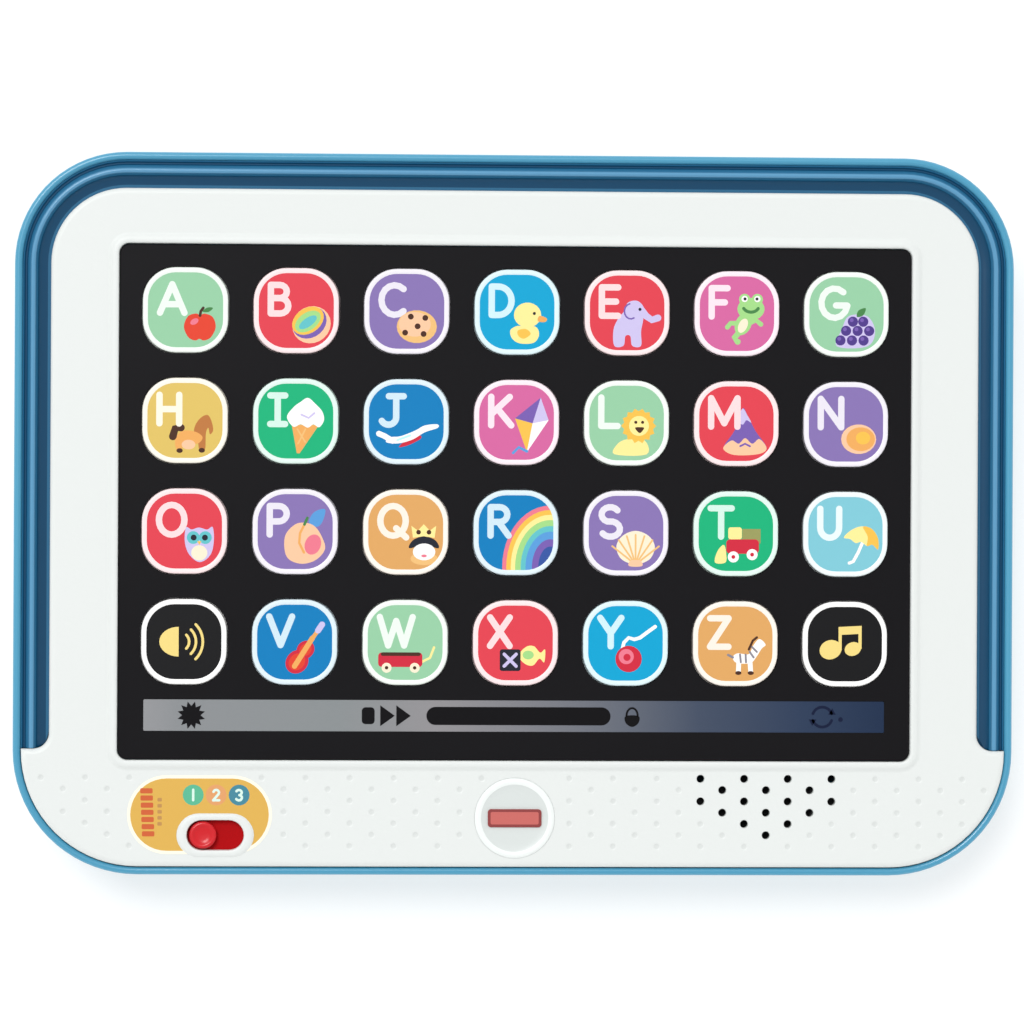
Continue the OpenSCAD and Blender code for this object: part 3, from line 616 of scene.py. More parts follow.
# Each letter's strokes, one unit high
LETTERS = {
    "a": [[(0, 0), (0.46, 1)], [(0.46, 1), (0.92, 0)], [(0.22, 0.3), (0.7, 0.3)]],
    "b": [
        [(0, 0), (0, 1)],
        [(0, 1), *arc(0.34, 0.77, 0.26, 0.23, 90, -90, 8), (0, 0.54)],
        [(0, 0.54), *arc(0.36, 0.27, 0.3, 0.27, 90, -90, 8), (0, 0)],
    ],
    "c": [arc(0.5, 0.5, 0.5, 0.52, 48, 312)],
    "d": [[(0, 0), (0, 1)],
          [(0, 1), (0.2, 1), *arc(0.25, 0.5, 0.5, 0.5, 80, -80), (0.2, 0), (0, 0)]],
    "e": [[(0, 0), (0, 1)], [(0, 1), (0.62, 1)], [(0, 0.5), (0.54, 0.5)], [(0, 0), (0.62, 0)]],
    "f": [[(0, 0), (0, 1)], [(0, 1), (0.6, 1)], [(0, 0.5), (0.5, 0.5)]],
    "g": [arc(0.5, 0.5, 0.5, 0.52, 48, 350), [(0.98, 0.42), (0.56, 0.42)]],
    "h": [[(0, 0), (0, 1)], [(0.74, 0), (0.74, 1)], [(0, 0.5), (0.74, 0.5)]],
    "i": [[(0.28, 0), (0.28, 1)], [(0, 1), (0.56, 1)], [(0, 0), (0.56, 0)]],
    "j": [[(0.3, 1), (0.86, 1)], [(0.58, 1), *arc(0.29, 0.26, 0.29, 0.26, 0, -150)]],
    "k": [[(0, 0), (0, 1)], [(0.7, 1), (0.04, 0.42)], [(0.24, 0.58), (0.76, 0)]],
    "l": [[(0, 0), (0, 1)], [(0, 0), (0.62, 0)]],
    "m": [[(0, 0), (0, 1)], [(0, 1), (0.5, 0.12)], [(0.5, 0.12), (1, 1)], [(1, 1), (1, 0)]],
    "n": [[(0, 0), (0, 1)], [(0, 1), (0.78, 0)], [(0.78, 0), (0.78, 1)]],
    "o": [arc(0.48, 0.5, 0.48, 0.52, 0, 180), arc(0.48, 0.5, 0.48, 0.52, 180, 360)],
    "p": [[(0, 0), (0, 1)], [(0, 1), *arc(0.34, 0.73, 0.3, 0.27, 90, -90, 10), (0, 0.46)]],
    "q": [
        arc(0.48, 0.5, 0.48, 0.52, 0, 180),
        arc(0.48, 0.5, 0.48, 0.52, 180, 360),
        [(0.6, 0.24), (0.98, -0.08)],
    ],
    "r": [
        [(0, 0), (0, 1)],
        [(0, 1), *arc(0.34, 0.74, 0.29, 0.26, 90, -90, 10), (0, 0.48)],
        [(0.3, 0.48), (0.68, 0)],
    ],
    "s": [[*arc(0.36, 0.76, 0.33, 0.26, 35, 250, 10), *arc(0.37, 0.25, 0.36, 0.27, 75, -145, 10)]],
    "t": [[(0, 1), (0.8, 1)], [(0.4, 0), (0.4, 1)]],
    "u": [[(0, 1), *arc(0.36, 0.34, 0.36, 0.36, 180, 360), (0.72, 1)]],
    "v": [[(0, 1), (0.43, 0)], [(0.43, 0), (0.86, 1)]],
    "w": [[(0, 1), (0.32, 0)], [(0.32, 0), (0.62, 0.86)], [(0.62, 0.86), (0.92, 0)],
          [(0.92, 0), (1.24, 1)]],
    "x": [[(0, 1), (0.74, 0)], [(0.74, 1), (0, 0)]],
    "y": [[(0, 1), (0.4, 0.46)], [(0.8, 1), (0.4, 0.46)], [(0.4, 0.46), (0.4, 0)]],
    "z": [[(0, 1), (0.7, 1)], [(0.7, 1), (0, 0)], [(0, 0), (0.7, 0)]],
}
LETTER_AT, LETTER_TALL, LETTER_SQUEEZE, LETTER_LINE = (-6.35, -0.75), 7.1, 0.93, 1.6


def letter(name, face):
    """Strokes of a button's letter"""
    ox, oy = LETTER_AT
    for path in LETTERS[name]:
        line = [(ox + x * LETTER_SQUEEZE * LETTER_TALL, oy + y * LETTER_TALL) for x, y in path]
        yield "word_" + face, stroke(line, LETTER_LINE)


def rainbow():
    """Bands round the button's lower right corner, the widest first"""
    bands = [("rose", 12.0, 15.4), ("gold", 11.0, 14.3), ("lemon", 9.9, 13.1), ("mint", 8.8, 11.8)]
    bands += [("teal", 7.4, 10.3), ("sky", 6.2, 8.9), ("violet", 4.6, 7.0), ("navy", 3.0, 5.2)]
    return [(name, ell(8.6, -8.6, rx, ry, n=48)) for name, rx, ry in bands]


def fan(cx, cy, r, start, end, n):
    """Thin rays from a point, as a scallop shell's ribs"""
    for a in np.radians(np.linspace(start, end, n)):
        yield stroke([(cx + d * math.cos(a), cy + d * math.sin(a)) for d in (1.2, r)], 0.45)


BUNCH = [(1.6, -1.8), (4.2, -1.8), (-0.1, -4.1), (2.8, -4.1), (5.7, -4.1), (-1.5, -6.5),
         (1.4, -6.5), (4.3, -6.5)]
CHIPS = [(1.0, -1.3), (4.6, -1.6), (2.7, -3.7), (-0.4, -5.3), (4.2, -5.6)]

# Each button's letter, colour and picture, in rows from the top left
BUTTONS = [
    ("a", "lt_green", [
        ("apple", blob([(-0.4, -4.2), (0.6, -1.6), (2.6, -0.9), (3.6, -1.3), (4.8, -0.9),
                        (6.8, -1.8),
                        (7.5, -4.3), (6.3, -6.8), (4.6, -7.6), (3.5, -7.2), (2.4, -7.6),
                        (0.7, -6.8)])),
        ("rose", ell(2.2, -2.9, 1.1, 0.7, 30)),
        ("dark", stroke([(3.6, -1.4), (3.8, -0.3), (4.4, 0.5)], 0.7)),
        ("leaf", blob([(4.2, -0.4), (5.4, 0.6), (6.8, 0.5), (5.7, -0.5)])),
    ]),
    ("b", "red", [
        ("peach", ell(3.8, -3.5, 4.9, 4.5, 35)),
        ("violet", ell(3.3, -3.0, 4.5, 3.7, 35)),
        ("gold", ell(2.9, -2.5, 4.3, 3.1, 35)),
        ("mint", ell(2.9, -2.7, 3.6, 2.2, 35)),
        ("teal", ell(2.9, -2.9, 2.6, 1.1, 35)),
    ]),
    ("c", "purple", [
        ("biscuit", ell(2.5, -3.8, 5.0, 4.1)),
        ("peach", ell(2.0, -3.2, 4.0, 3.1)),
        *(("dark", ell(x, y, 0.75, n=10)) for x, y in CHIPS),
    ]),
    ("d", "cyan", [
        ("lemon", blob([(-1.7, -4.6), (-0.4, -3.6), (1.0, -3.4), (4.6, -3.6), (5.5, -5.6),
                        (4.2, -7.6), (0.8, -7.8), (-1.2, -6.6)])),
        ("lemon", ell(2.6, -0.7, 3.4, 3.1)),
        ("gold", blob([(0.2, -4.6), (2.2, -4.2), (3.4, -5.4), (1.8, -6.6), (0.4, -6.0)])),
        ("amber", blob([(5.6, -0.9), (7.4, -1.5), (7.0, -2.4), (5.2, -2.2)])),
        ("ink", ell(4.3, -0.3, 0.4, n=10)),
    ]),
    ("e", "red", [
        ("lilac", blob([(-3.2, -8.2), (-3.4, -4.2), (-2.2, -1.4), (-0.8, 0.4), (0.2, 2.6),
                        (2.6, 3.0), (4.2, 1.2),
                        (4.0, -1.8), (3.5, -4.6), (3.5, -8.2), (1.3, -8.2), (0.8, -5.8),
                        (-0.4, -5.8), (-0.9, -8.2)])),
        ("lilac", stroke([(3.4, 1.0), (4.8, -0.8), (6.2, -1.7), (7.7, -1.2)], 1.7)),
        ("violet", stroke(arc(0.9, 0.4, 1.6, 1.9, 100, 300, 8), 0.4)),
        ("ink", ell(3.2, 0.9, 0.4, n=10)),
    ]),
    ("f", "pink", [
        ("mint", ell(1.6, -2.6, 2.0, 2.9, -25)),
        ("mint", stroke([(0.8, -4.4), (-0.6, -6.0), (0.2, -7.0)], 1.5)),
        ("mint", stroke([(0.2, -2.4), (-1.6, -2.4), (-2.4, -3.4)], 1.2)),
        ("mint", stroke([(3.0, -2.4), (4.8, -1.6), (6.0, -2.6)], 1.2)),
        ("mint", ell(3.5, 1.2, 3.4, 2.8)),
        ("mint", ell(1.9, 3.6, 1.4)),
        ("mint", ell(5.1, 3.6, 1.4)),
        ("white", ell(1.9, 3.7, 0.8, n=12)),
        ("white", ell(5.1, 3.7, 0.8, n=12)),
        ("ink", ell(2.0, 3.7, 0.4, n=10)),
        ("ink", ell(5.0, 3.7, 0.4, n=10)),
        ("leaf", stroke(arc(3.5, 2.0, 2.0, 1.6, 205, 335, 8), 0.8)),
        ("cream", ell(1.5, -3.0, 1.1, 1.9, -25)),
    ]),
    ("g", "lt_green", [
        ("lilac", blob([(0.6, -0.4), (5.2, -0.4), (7.2, -4.2), (5.2, -8.0), (-2.4, -8.0),
                        (-1.2, -3.8)])),
        *(("grape", ell(x, y, 1.3, n=14)) for x, y in BUNCH),
        *(("violet", ell(x - 0.3, y + 0.4, 0.5, n=10)) for x, y in BUNCH),
        ("leaf", blob([(2.6, -0.6), (3.0, 1.0), (4.8, 1.6), (4.2, -0.2)])),
    ]),
    ("h", "yellow", [
        ("brown", blob([(2.2, -4.6), (2.4, -1.6), (3.8, 0.6), (5.6, 1.4), (6.6, -0.2),
                        (7.0, -2.4), (6.2, -3.4),
                        (5.8, -1.8), (5.2, -3.2), (5.0, -7.2), (3.6, -7.2), (3.2, -5.4)])),
        ("amber", blob([(-2.4, -4.6), (-0.6, -2.6), (2.6, -2.8), (4.4, -4.2), (3.0, -5.8),
                        (-0.4, -5.6), (-0.7, -7.4), (-2.0, -7.4)])),
        ("dark", stroke([(-3.0, -4.0), (-2.4, -2.0), (-1.0, -1.8)], 1.9)),
        ("peach", ell(0.9, -6.0, 1.7, 1.2)),
        ("dark", ell(-1.3, -7.5, 0.8, 0.6, n=12)),
        ("dark", ell(4.2, -7.4, 0.8, 0.6, n=12)),
    ]),
    ("i", "green", [
        ("amber", [(-1.0, -0.9), (5.8, -0.9), (1.0, -8.0), (0.3, -8.0)]),
        ("biscuit", stroke([(0.4, -2.0), (2.4, -5.2)], 0.4)),
        ("biscuit", stroke([(2.4, -2.0), (0.6, -5.6)], 0.4)),
        ("white", blob([(-2.2, 1.0), (-0.6, 3.4), (1.2, 4.8), (3.0, 5.8), (4.8, 4.4), (6.6, 2.4),
                        (7.0, 0.2), (5.8, -1.5),
                        (4.4, -0.8), (3.0, -1.6), (1.2, -0.8), (-0.6, -1.4)])),
        ("lilac", stroke([(1.4, 1.6), (3.2, 0.8), (4.6, 2.0)], 0.5)),
    ]),
    ("j", "blue", [
        ("ruby", blob([(-1.8, -6.3), (0.6, -5.8), (3.6, -4.2), (3.2, -3.4), (0.0, -4.6)])),
        ("white", blob([(-5.0, -5.1), (-2.0, -5.4), (1.6, -4.4), (4.6, -2.6), (7.8, -1.5),
                        (7.7, -0.6), (4.6, -0.9),
                        (2.2, -2.2), (-1.4, -3.6), (-4.0, -3.9)])),
        ("white", stroke([(-6.8, -3.0), (-5.4, -3.6), (-3.4, -4.8)], 1.4)),
        ("ice", stroke([(-2.2, -4.6), (1.0, -3.4)], 0.5)),
    ]),
    ("k", "pink", [
        ("violet", [(6.0, 6.2), (-0.4, 1.0), (4.0, -0.2)]),
        ("lilac", [(6.0, 6.2), (4.0, -0.2), (8.0, 0.6)]),
        ("gold", [(-0.4, 1.0), (2.6, -7.4), (4.0, -0.2)]),
        ("white", [(4.0, -0.2), (2.6, -7.4), (8.0, 0.6)]),
        ("sky", stroke([(2.6, -7.2), (0.6, -6.2), (-0.8, -7.6)], 0.7)),
    ]),
    ("l", "lt_green", [
        ("lemon", blob([(-3.0, -7.8), (-2.2, -5.2), (0.4, -4.0), (4.6, -4.4), (5.0, -7.8)])),
        ("gold", gear(3.0, -0.7, 4.4, 3.7, 14)),
        ("lemon", ell(3.1, -0.7, 2.5)),
        ("dark", ell(2.3, 0.2, 0.4, n=10)),
        ("dark", ell(4.0, 0.2, 0.4, n=10)),
        ("dark", blob([(2.1, -1.2), (3.2, -1.0), (4.4, -1.2), (3.3, -2.5)])),
    ]),
    ("m", "red", [
        ("violet", blob([(-3.2, -6.4), (-0.4, -1.6), (1.5, 3.8), (2.8, 2.0), (4.8, -1.8),
                         (7.6, -6.4), (2.2, -7.4)])),
        ("lilac", blob([(0.4, 0.8), (1.5, 3.8), (2.8, 2.0), (3.7, 0.3), (2.5, 0.9), (1.6, -0.2)])),
        ("peach", blob([(-3.3, -6.2), (-1.2, -4.2), (0.6, -5.0), (2.2, -3.6), (4.0, -5.0),
                        (5.8, -3.8), (7.6, -6.2), (5.4, -7.6), (-0.6, -7.8)])),
        ("violet", stroke([(1.0, -5.6), (2.2, -5.0), (3.4, -5.6)], 0.5)),
    ]),
    ("n", "purple", [
        ("peach", ell(3.2, -3.7, 4.4, 3.7)),
        ("amber", ell(3.7, -3.7, 3.6, 3.0)),
        ("gold", ell(4.3, -3.4, 1.8, 1.6)),
    ]),
    ("o", "red", [
        ("lilac", blob([(0.4, 0.9), (1.8, 0.4), (3.6, 0.9), (5.6, 0.4), (7.0, 1.0), (7.3, -2.6),
                        (6.4, -6.0), (3.8, -7.7), (1.2, -5.8), (0.1, -2.6)])),
        ("teal", ell(2.2, -1.6, 1.6)),
        ("teal", ell(5.2, -1.6, 1.6)),
        ("ink", ell(2.3, -1.6, 0.75, n=12)),
        ("ink", ell(5.1, -1.6, 0.75, n=12)),
        ("cream", ell(3.7, -5.4, 2.0, 1.9)),
        ("gold", [(3.2, -2.5), (4.2, -2.5), (3.7, -3.5)]),
    ]),
    ("p", "purple", [
        ("sky", blob([(3.4, 2.2), (4.6, 4.8), (7.4, 5.6), (6.8, 2.6), (5.4, 1.2)])),
        ("peach", blob([(-2.6, -4.6), (-2.4, -0.8), (0.0, 1.8), (2.6, 2.2), (5.0, 1.2),
                        (6.8, -1.6), (7.4, -4.4),
                        (5.2, -7.0), (1.8, -8.0), (-1.4, -7.0)])),
        ("rose", ell(4.4, -3.2, 2.0, 2.6, -20)),
        ("amber", stroke([(2.2, 1.6), (1.2, -0.4), (1.0, -2.8), (2.2, -5.2)], 0.6)),
        ("leaf", stroke([(2.3, 1.8), (3.0, 3.4)], 0.7)),
    ]),
    ("q", "orange", [
        ("biscuit", ell(4.6, -6.6, 3.4, 1.6)),
        ("ink", blob([(0.9, -4.0), (1.8, -2.0), (4.6, -1.0), (7.4, -2.0), (8.2, -4.0),
                      (4.6, -3.2)])),
        ("white", ell(4.6, -4.9, 2.8, 2.1)),
        ("lemon", [(1.8, -1.4), (1.4, 1.6), (3.0, 0.4), (4.5, 2.0), (6.0, 0.4), (7.6, 1.6),
                   (7.2, -1.4), (4.5, -1.0)]),
        ("dark", ell(3.2, 0.0, 0.6, n=10)),
        ("dark", ell(5.8, 0.0, 0.6, n=10)),
        ("rose", ell(4.6, -5.9, 0.7, 0.35, n=12)),
    ]),
    ("r", "blue", rainbow()),
    ("s", "purple", [
        ("cream", blob([(1.2, -7.6), (-1.4, -6.2), (-2.4, -3.2), (-0.8, -0.6), (2.4, 0.6),
                        (5.6, -0.6), (7.2, -3.2), (6.2, -6.2), (3.6, -7.6)])),
        *(("biscuit", rib) for rib in fan(2.4, -7.8, 7.4, 38, 142, 7)),
        ("peach", blob([(0.8, -8.2), (1.2, -6.8), (3.6, -6.8), (4.0, -8.2)])),
    ]),
    ("t", "green", [
        ("olive", box(1.6, -2.4, 6.2, 1.2)),
        ("lemon", round_box(3.4, 3.0, 0.6, -0.2, 0.1)),
        ("ruby", round_box(8.2, 3.6, 1.0, 1.7, -3.2)),
        ("lemon", blob([(-5.2, -7.2), (-4.6, -4.4), (-3.0, -2.8), (-2.4, -5.0), (-2.6, -7.2)])),
        ("white", ell(-0.6, -5.8, 1.4, n=16)),
        ("white", ell(4.1, -5.2, 1.4, n=16)),
        ("ruby", ell(-0.6, -5.8, 0.5, n=10)),
        ("ruby", ell(4.1, -5.2, 0.5, n=10)),
    ]),
    ("u", "lt_blue", [
        ("white", stroke([(4.6, -1.4), (3.2, -4.6), (2.0, -6.8), (1.0, -7.2)], 0.8)),
        ("lemon", blob([(-0.4, -0.8), (1.4, 1.0), (4.0, 2.0), (6.6, 1.4), (8.2, -1.0),
                        (8.2, -3.8), (6.8, -2.6), (5.4, -2.9),
                        (4.0, -1.9), (2.6, -2.2), (1.2, -1.2)])),
        ("gold", blob([(4.4, 1.9), (6.6, 1.4), (8.2, -1.0), (8.2, -3.8), (6.8, -2.6),
                       (5.4, -2.9), (5.6, -0.6)])),
    ]),
    ("sound", "black", [
        ("straw", [*arc(-1.3, 0, 4.8, 3.7, 90, 270, 16)]),
        *(("straw", stroke(arc(-0.9, 0, r, r * 1.05, -47, 47, 10), 0.65)) for r in (2.2, 3.9, 5.6)),
    ]),
    ("v", "blue", [
        ("ruby", ell(0.6, -4.9, 3.1, 2.7, 50)),
        ("ruby", ell(2.7, -1.9, 2.4, 2.1, 50)),
        ("apple", ell(0.6, -4.9, 2.3, 1.9, 50)),
        ("apple", ell(2.7, -1.9, 1.7, 1.4, 50)),
        ("amber", stroke([(0.0, -6.0), (4.4, 1.0)], 1.3)),
        ("amber", stroke([(3.6, -0.2), (6.0, 3.2)], 1.0)),
        ("lilac", stroke([(5.8, 2.9), (6.8, 4.4)], 1.5)),
    ]),
    ("w", "lt_green", [
        ("lemon", stroke([(3.8, -5.0), (6.2, -3.8), (7.2, -1.2)], 0.6)),
        ("ruby", round_box(11.0, 3.6, 0.9, -1.2, -4.3)),
        ("dark", stroke([(-5.6, -2.9), (3.4, -2.9)], 0.9)),
        ("cream", ell(-4.6, -6.3, 1.25, n=16)),
        ("cream", ell(2.4, -6.3, 1.25, n=16)),
        ("dark", ell(-4.6, -6.3, 0.45, n=10)),
        ("dark", ell(2.4, -6.3, 0.45, n=10)),
    ]),
    ("x", "red", [
        ("lemon", blob([(0.8, -3.2), (2.6, -1.0), (4.6, -0.8), (6.2, -2.4), (7.4, -1.6),
                        (7.2, -4.8), (6.0, -3.9), (4.4, -5.6), (2.4, -5.2)])),
        ("mint", ell(3.2, -3.0, 1.4, 1.1)),
        ("ink", round_box(5.2, 5.4, 0.6, -1.3, -4.3)),
        ("lilac", stroke([(-2.8, -2.8), (0.2, -5.8)], 0.8)),
        ("lilac", stroke([(0.2, -2.8), (-2.8, -5.8)], 0.8)),
    ]),
    ("y", "cyan", [
        ("white", stroke([(-0.8, -1.6), (-0.4, 0.2), (0.8, 1.4), (2.2, 1.0), (3.6, 1.4),
                          (5.2, 2.6), (7.4, 4.2)], 0.9)),
        ("ruby", ell(0.8, -3.9, 3.3)),
        ("rose", ell(0.2, -3.3, 1.9)),
        ("ruby", ell(0.4, -3.5, 0.9, n=14)),
    ]),
    ("z", "orange", [
        ("white", stroke([(0.8, -7.0), (0.9, -4.4)], 1.2)),
        ("white", stroke([(3.9, -7.0), (3.7, -4.4)], 1.2)),
        ("white", blob([(-0.6, -3.4), (0.6, -2.4), (3.4, -2.6), (4.4, -0.6), (6.0, 1.2),
                        (7.6, -0.2), (6.6, -1.2), (5.2, -3.4), (3.8, -4.8), (0.4, -4.8)])),
        ("grey", stroke([(1.2, -2.7), (1.4, -4.6)], 0.5)),
        ("grey", stroke([(2.6, -2.7), (2.7, -4.6)], 0.5)),
        ("grey", stroke([(3.6, -2.0), (4.6, -3.4)], 0.5)),
        ("grey", stroke([(4.2, -0.8), (5.4, -2.0)], 0.5)),
        ("dark", stroke([(3.4, -1.4), (4.4, 0.8), (5.4, 1.6)], 0.6)),
        ("dark", ell(0.8, -7.3, 0.8, 0.5, n=12)),
        ("dark", ell(3.9, -7.3, 0.8, 0.5, n=12)),
        ("grey", stroke([(-0.6, -3.4), (-1.8, -2.8)], 0.6)),
    ]),
    ("music", "black", [
        ("straw", ell(-3.6, -1.4, 2.8, 2.4, 20)),
        ("straw", ell(2.0, -1.2, 2.1, 1.7, 20)),
        ("straw", box(-1.6, -1.6, -0.8, 4.2)),
        ("straw", box(3.4, -1.2, 4.2, 4.4)),
        ("straw", [(-1.6, 4.3), (-1.6, 2.3), (4.2, 2.6), (4.2, 4.6)]),
    ]),
]


def make_buttons():
    for n, (name, face, picture) in enumerate(BUTTONS):
        cx = (n % 7 - 3) * PITCH
        cy = BUTTONS_Y + (1.5 - n // 7) * PITCH
        b = Build()

        def ring(inset):
            w = CAP_W - 2 * inset
            return round_box(w, w, CAP_R - inset, cx, cy)

        def moved(shape):
            return [(cx + x, cy + y) for x, y in shape]

        edge = "edge_" + face
        flange = ring(-FLANGE_OUT)
        body = [(flange, CAP_Z), (flange, CAP_Z + FLANGE_TALL), (ring(0), CAP_Z + FLANGE_TALL)]
        body += [(ring(d), CAP_TOP - down) for d, down in rounded(0.45)]
        body += [(ring(BORDER - 0.3), CAP_TOP), (ring(BORDER), CAP_TOP - ART_DEEP)]
        b.loft(body, edge)
        art = [] if name in ("sound", "music") else list(letter(name, face))
        shapes = [(i, moved(s)) for i, s in [*picture, *art]]
        b.flat(CAP_TOP - ART_DEEP, ring(BORDER), (), "face_" + face, shapes)
        b.flat(CAP_Z, flange, (), edge, (), False)
        node = "button_" + name
        b.piece("cap_" + name, node, "button_" + face, node)


# ---------------------------------------------------------------- status bar, label and medallion


def make_status_bar():
    b = Build()
    outer = round_box(BAR_W, BAR_H, 0.3, 0, BAR_Y, 3)
    b.plate(PANEL_TOP - 0.8, PANEL_TOP + 0.04, outer, "bar_glass")
    b.piece("bar", "case", "bar_grey", "status_bar")

    y = BAR_Y
    marks = [
        ("bar_black", gear(-80.6, y, 2.3, 3.5, 12)),
        ("bar_black", round_box(3.2, 4.2, 0.9, -36.6, y, 4)),
        ("bar_black", [(-33.6, y + 2.6), (-33.6, y - 2.6), (-30.0, y)]),
        ("bar_black", [(-29.6, y + 2.6), (-29.6, y - 2.6), (-26.0, y)]),
        ("bar_black", pill(46, 4.5, 0.9, y)),
        ("bar_black", blob([(27.7, y + 0.1), (30.9, y + 0.1), (30.9, y - 1.6), (29.3, y - 2.6),
                            (27.7, y - 1.6)])),
        ("bar_black", stroke(arc(29.3, y + 0.2, 1.4, 1.9, 0, 180, 10), 0.5)),
        ("bar_blue", stroke(arc(77.0, y, 2.5, 2.5, 20, 160, 10), 0.7)),
        ("bar_blue", stroke(arc(77.0, y, 2.5, 2.5, 200, 340, 10), 0.7)),
        ("bar_blue", [(78.5, y + 0.6), (80.4, y + 0.6), (79.5, y + 2.2)]),
        ("bar_blue", [(75.5, y - 0.6), (73.6, y - 0.6), (74.5, y - 2.2)]),
        ("bar_blue", ell(81.6, y - 0.6, 0.6, n=12)),
    ]
    b = Build()
    for name, shape in marks:
        b.plate(PANEL_TOP + 0.02, PANEL_TOP + 0.07, shape, name)
    b.piece("bar_marks", "case", "bar_grey")


def digit(path, cx, cy, tall=2.6, w=0.62):
    """Strokes of a number on its disc"""
    return [stroke([(cx + x * tall, cy + y * tall) for x, y in line], w) for line in path]


def make_label():
    b = Build()
    outer = pill(LABEL_W + 1.6, LABEL_H + 1.6, LABEL_X, LABEL_Y, 20)
    hole = pill(WINDOW_W + 2 * COLLAR_RIM + 0.7, WINDOW_H + COLLAR_RIM + 0.3, MODE_X, MODE_Y)
    shapes = [("label_yellow", pill(LABEL_W, LABEL_H, LABEL_X, LABEL_Y, 20))]
    for k in range(7):
        bar = round_box(3.1, 1.3, 0.3, -91.6 + 0.08 * k, -69.0 - 1.78 * k, 3)
        shapes.append(("label_orange", bar))
    for k in range(5):
        shapes.append(("label_tan", round_box(1.1, 0.9, 0.2, -88.3, -71.2 - 1.5 * k, 3)))
    dials = [
        ("dial_green", -80.0, [[(0, -0.5), (0, 0.5)]]),
        (
            "dial_peach",
            -74.3,
            [
                [*arc(0, 0.22, 0.27, 0.27, 160, -20, 8), (-0.28, -0.5)],
                [(-0.28, -0.5), (0.3, -0.5)],
            ],
        ),
        (
            "dial_teal",
            -68.6,
            [
                arc(-0.02, 0.24, 0.27, 0.25, 150, -80, 8),
                arc(-0.02, -0.25, 0.29, 0.26, 80, -150, 8),
            ],
        ),
    ]
    for name, x, path in dials:
        shapes.append((name, ell(x, -70.0, 2.6)))
        shapes += [("dial_light", s) for s in digit(path, x, -70.0)]
    z0, z1 = BEZEL_TOP - 0.05, BEZEL_TOP + 0.05
    b.flat(z1, outer, [hole], "label_edge", shapes)
    b.flat(z0, outer, [hole], "label_edge", (), False)
    b.loft([(outer, z0), (outer, z1)], "label_edge")
    b.piece("label", "case", "label_yellow", "mode_label")


def make_medallion():
    b = Build()
    # Painted shade: the dish inside the raised ring is coloured grey, a shaded copy of the disc's
    # white.
    section = [
        (0.0, 0.0, "medal_white"),
        (MEDAL_R, 0.0, "medal_white"),
        (MEDAL_R, 1.05, "medal_white"),
        (9.8, 1.25, "medal_white"),
        (9.4, 1.4, "medal_white"),
        (8.9, 1.38, "medal_white"),
        (8.4, 1.28, "medal_grey"),
        (7.9, 1.18, "medal_grey"),
        (6.5, 1.12, "medal_grey"),
        (0.0, 1.1, "medal_grey"),
    ]
    base = BEZEL_TOP - SEAT_DEEP
    loops = [(ell(0, MEDAL_Y, max(r, 0.02), n=64), base + z) for r, z, _ in section]
    b.loft(loops, [name for _, _, name in section])
    b.piece("medallion_disc", "case", "bezel_white", "medallion")

    b = Build()
    outer = round_box(BADGE_W, BADGE_H, 0.8, 0, MEDAL_Y, 4)
    inner = round_box(12.0, 3.1, 0.4, 0, MEDAL_Y, 4)
    b.plate(BEZEL_TOP, BEZEL_TOP + BADGE_TALL, outer, "badge_edge", [("badge_red", inner)])
    b.piece("badge", "case", "badge_red", "medallion_badge")


def make_slider():
    b = Build()
    outer = round_box(CARRIER_W, CARRIER_H, 1.0, KNOB_X, MODE_Y, 5)
    foot = ell(KNOB_X, MODE_Y, KNOB_R, n=40)
    b.flat(CARRIER_Z, outer, (), "slide_red", (), False)
    b.loft([(outer, CARRIER_Z), (outer, CARRIER_TOP)], "slide_red")
    b.flat(CARRIER_TOP, outer, [foot], "slide_red")
    section = [(KNOB_R, CARRIER_TOP), (KNOB_R, 26.9), (3.3, 27.25), (3.05, 27.45), (2.7, 27.5)]
    section += [(2.4, 27.42), (2.1, 27.2), (1.2, 27.08), (0.02, 27.05)]
    b.loft([(ell(KNOB_X, MODE_Y, r, n=40), z) for r, z in section], "knob_red")
    b.piece("slider", "mode", "slider_red", "mode_slider")


# ---------------------------------------------------------------- the frame's own pieces

CAD_FINISH = {
    "rear_shell": "shell_blue",
    "battery_door": "shell_blue",
    "screen_panel": "panel_black",
    "switch_lever": "part_black",
    "mode_switch": "steel",
    "switch_board": "board_green",
    "circuit_board": "board_green",
    "keypad": "keypad_rubber",
    "board_parts": "part_black",
    "rim_leds": "led_clear",
    "speaker": "cone_grey",
    "speaker_retainer": "part_black",
    "door_screws": "steel",
    "battery_1": "cell_wrap",
    "battery_2": "cell_wrap",
    "battery_3": "cell_wrap",
    "battery_springs": "steel",
    "battery_contacts": "steel",
    "case_screws": "steel",
    "board_screws": "steel",
    "battery_leads": "wire_red",
    "speaker_leads": "wire_yellow",
    "switch_leads": "wire_blue",
}
for node, name in CAD_FINISH.items():
    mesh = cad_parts[node].data
    mesh.materials.clear()
    mesh.materials.append(made[name])

make_bezel()
make_rim()
make_buttons()
make_status_bar()
make_label()
make_medallion()
make_slider()


# ---------------------------------------------------------------- floor, lights and camera

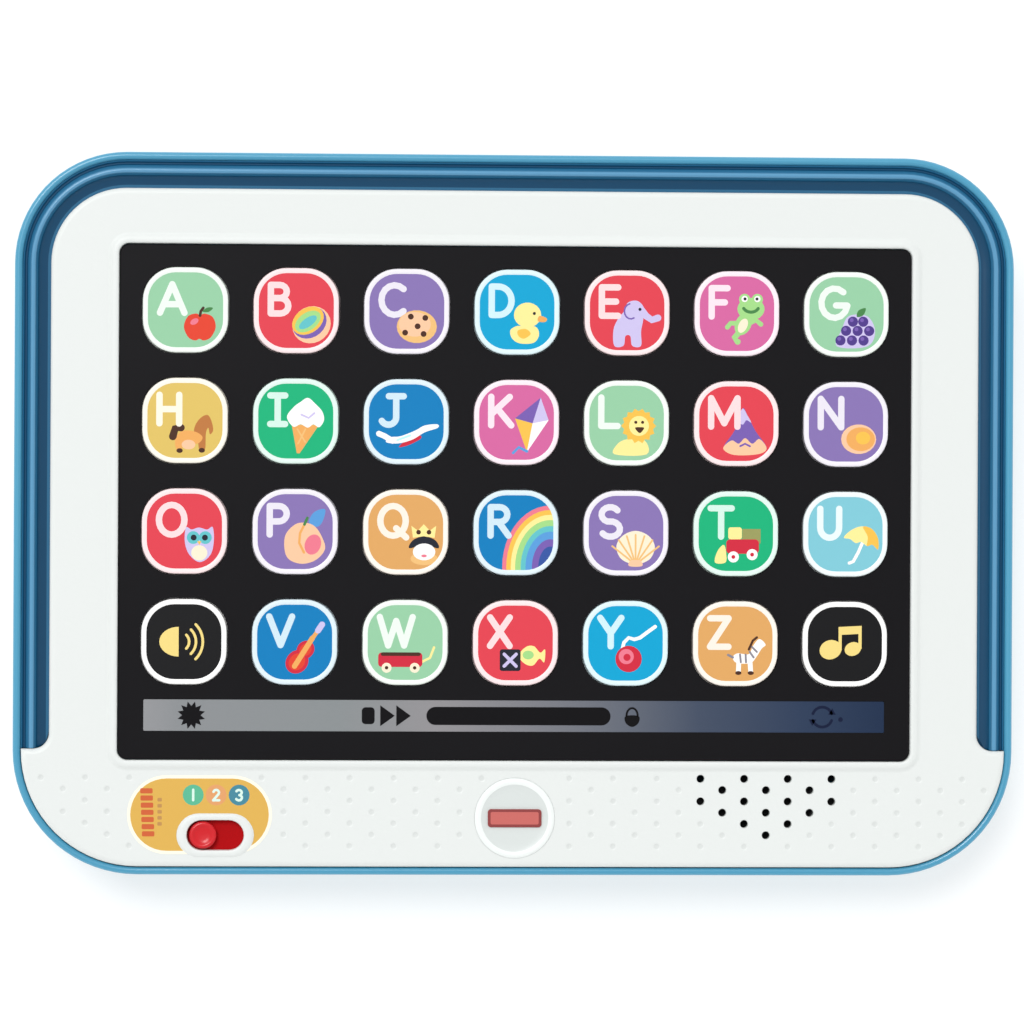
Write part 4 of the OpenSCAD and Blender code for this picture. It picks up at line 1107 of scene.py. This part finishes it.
# A disc whose edge curves up into a wall all round, in metres
FLOOR_R, CURVE_R, WALL_TOP, SIDES = 2.4, 0.8, 2.2, 64
floor_mesh = bpy.data.meshes.new("floor")
sweep = [(FLOOR_R, 0.0)]
for a in np.radians(range(9, 91, 9)):
    sweep.append((FLOOR_R + CURVE_R * math.sin(a), CURVE_R - CURVE_R * math.cos(a)))
sweep.append((FLOOR_R + CURVE_R, WALL_TOP))
turns = [math.tau * k / SIDES for k in range(SIDES)]
rings = [(r * math.cos(a), r * math.sin(a), z) for r, z in sweep for a in turns]
skirt = []
for k in range(0, SIDES * (len(sweep) - 1), SIDES):
    for i in range(SIDES):
        j = (i + 1) % SIDES
        skirt.append((k + i, k + j, k + SIDES + j, k + SIDES + i))
floor_mesh.from_pydata(rings, [], [tuple(range(SIDES)), *skirt])
floor_mesh.polygons.foreach_set("use_smooth", [False] + [True] * len(skirt))
floor_white = finish("floor_white", (180, 180, 180), rough=0.9, grain=0.02, scale=200, level=0.0)
floor_shader = floor_white.node_tree.nodes["Principled BSDF"]
floor_shader.inputs["Emission Color"].default_value = (1, 1, 1, 1)
floor_shader.inputs["Emission Strength"].default_value = 0.58
floor_mesh.materials.append(floor_white)
floor = bpy.data.objects.new("floor", floor_mesh)
scene.collection.objects.link(floor)

world = bpy.data.worlds.new("studio")
scene.world = world
world.use_nodes = True
sky = world.node_tree.nodes["Background"]
sky.inputs["Color"].default_value = (1.0, 1.0, 1.0, 1.0)
sky.inputs["Strength"].default_value = 0.56

key = bpy.data.lights.new("key", "SUN")
key.energy = 1.6
key.angle = math.radians(24)
key_light = bpy.data.objects.new("key", key)
key_light.rotation_euler = Vector((0.45, -0.7, -1.7)).to_track_quat("-Z", "Y").to_euler()
scene.collection.objects.link(key_light)

camera_data = bpy.data.cameras.new("camera")
camera_data.lens = 150
camera_data.sensor_width = 36
camera_data.clip_end = 50
camera = bpy.data.objects.new("camera", camera_data)
turn = Matrix.Rotation(math.radians(-2.4), 4, "Y")
roll = Matrix.Rotation(math.radians(0.29), 4, "Z")
target = Vector((-0.00105, 0.00075, 0.028))
distance = 1.0635
camera.matrix_world = Matrix.Translation(target + turn @ Vector((0, 0, distance))) @ turn @ roll
scene.collection.objects.link(camera)
scene.camera = camera

scene.view_settings.view_transform = "Standard"
scene.view_settings.look = "None"
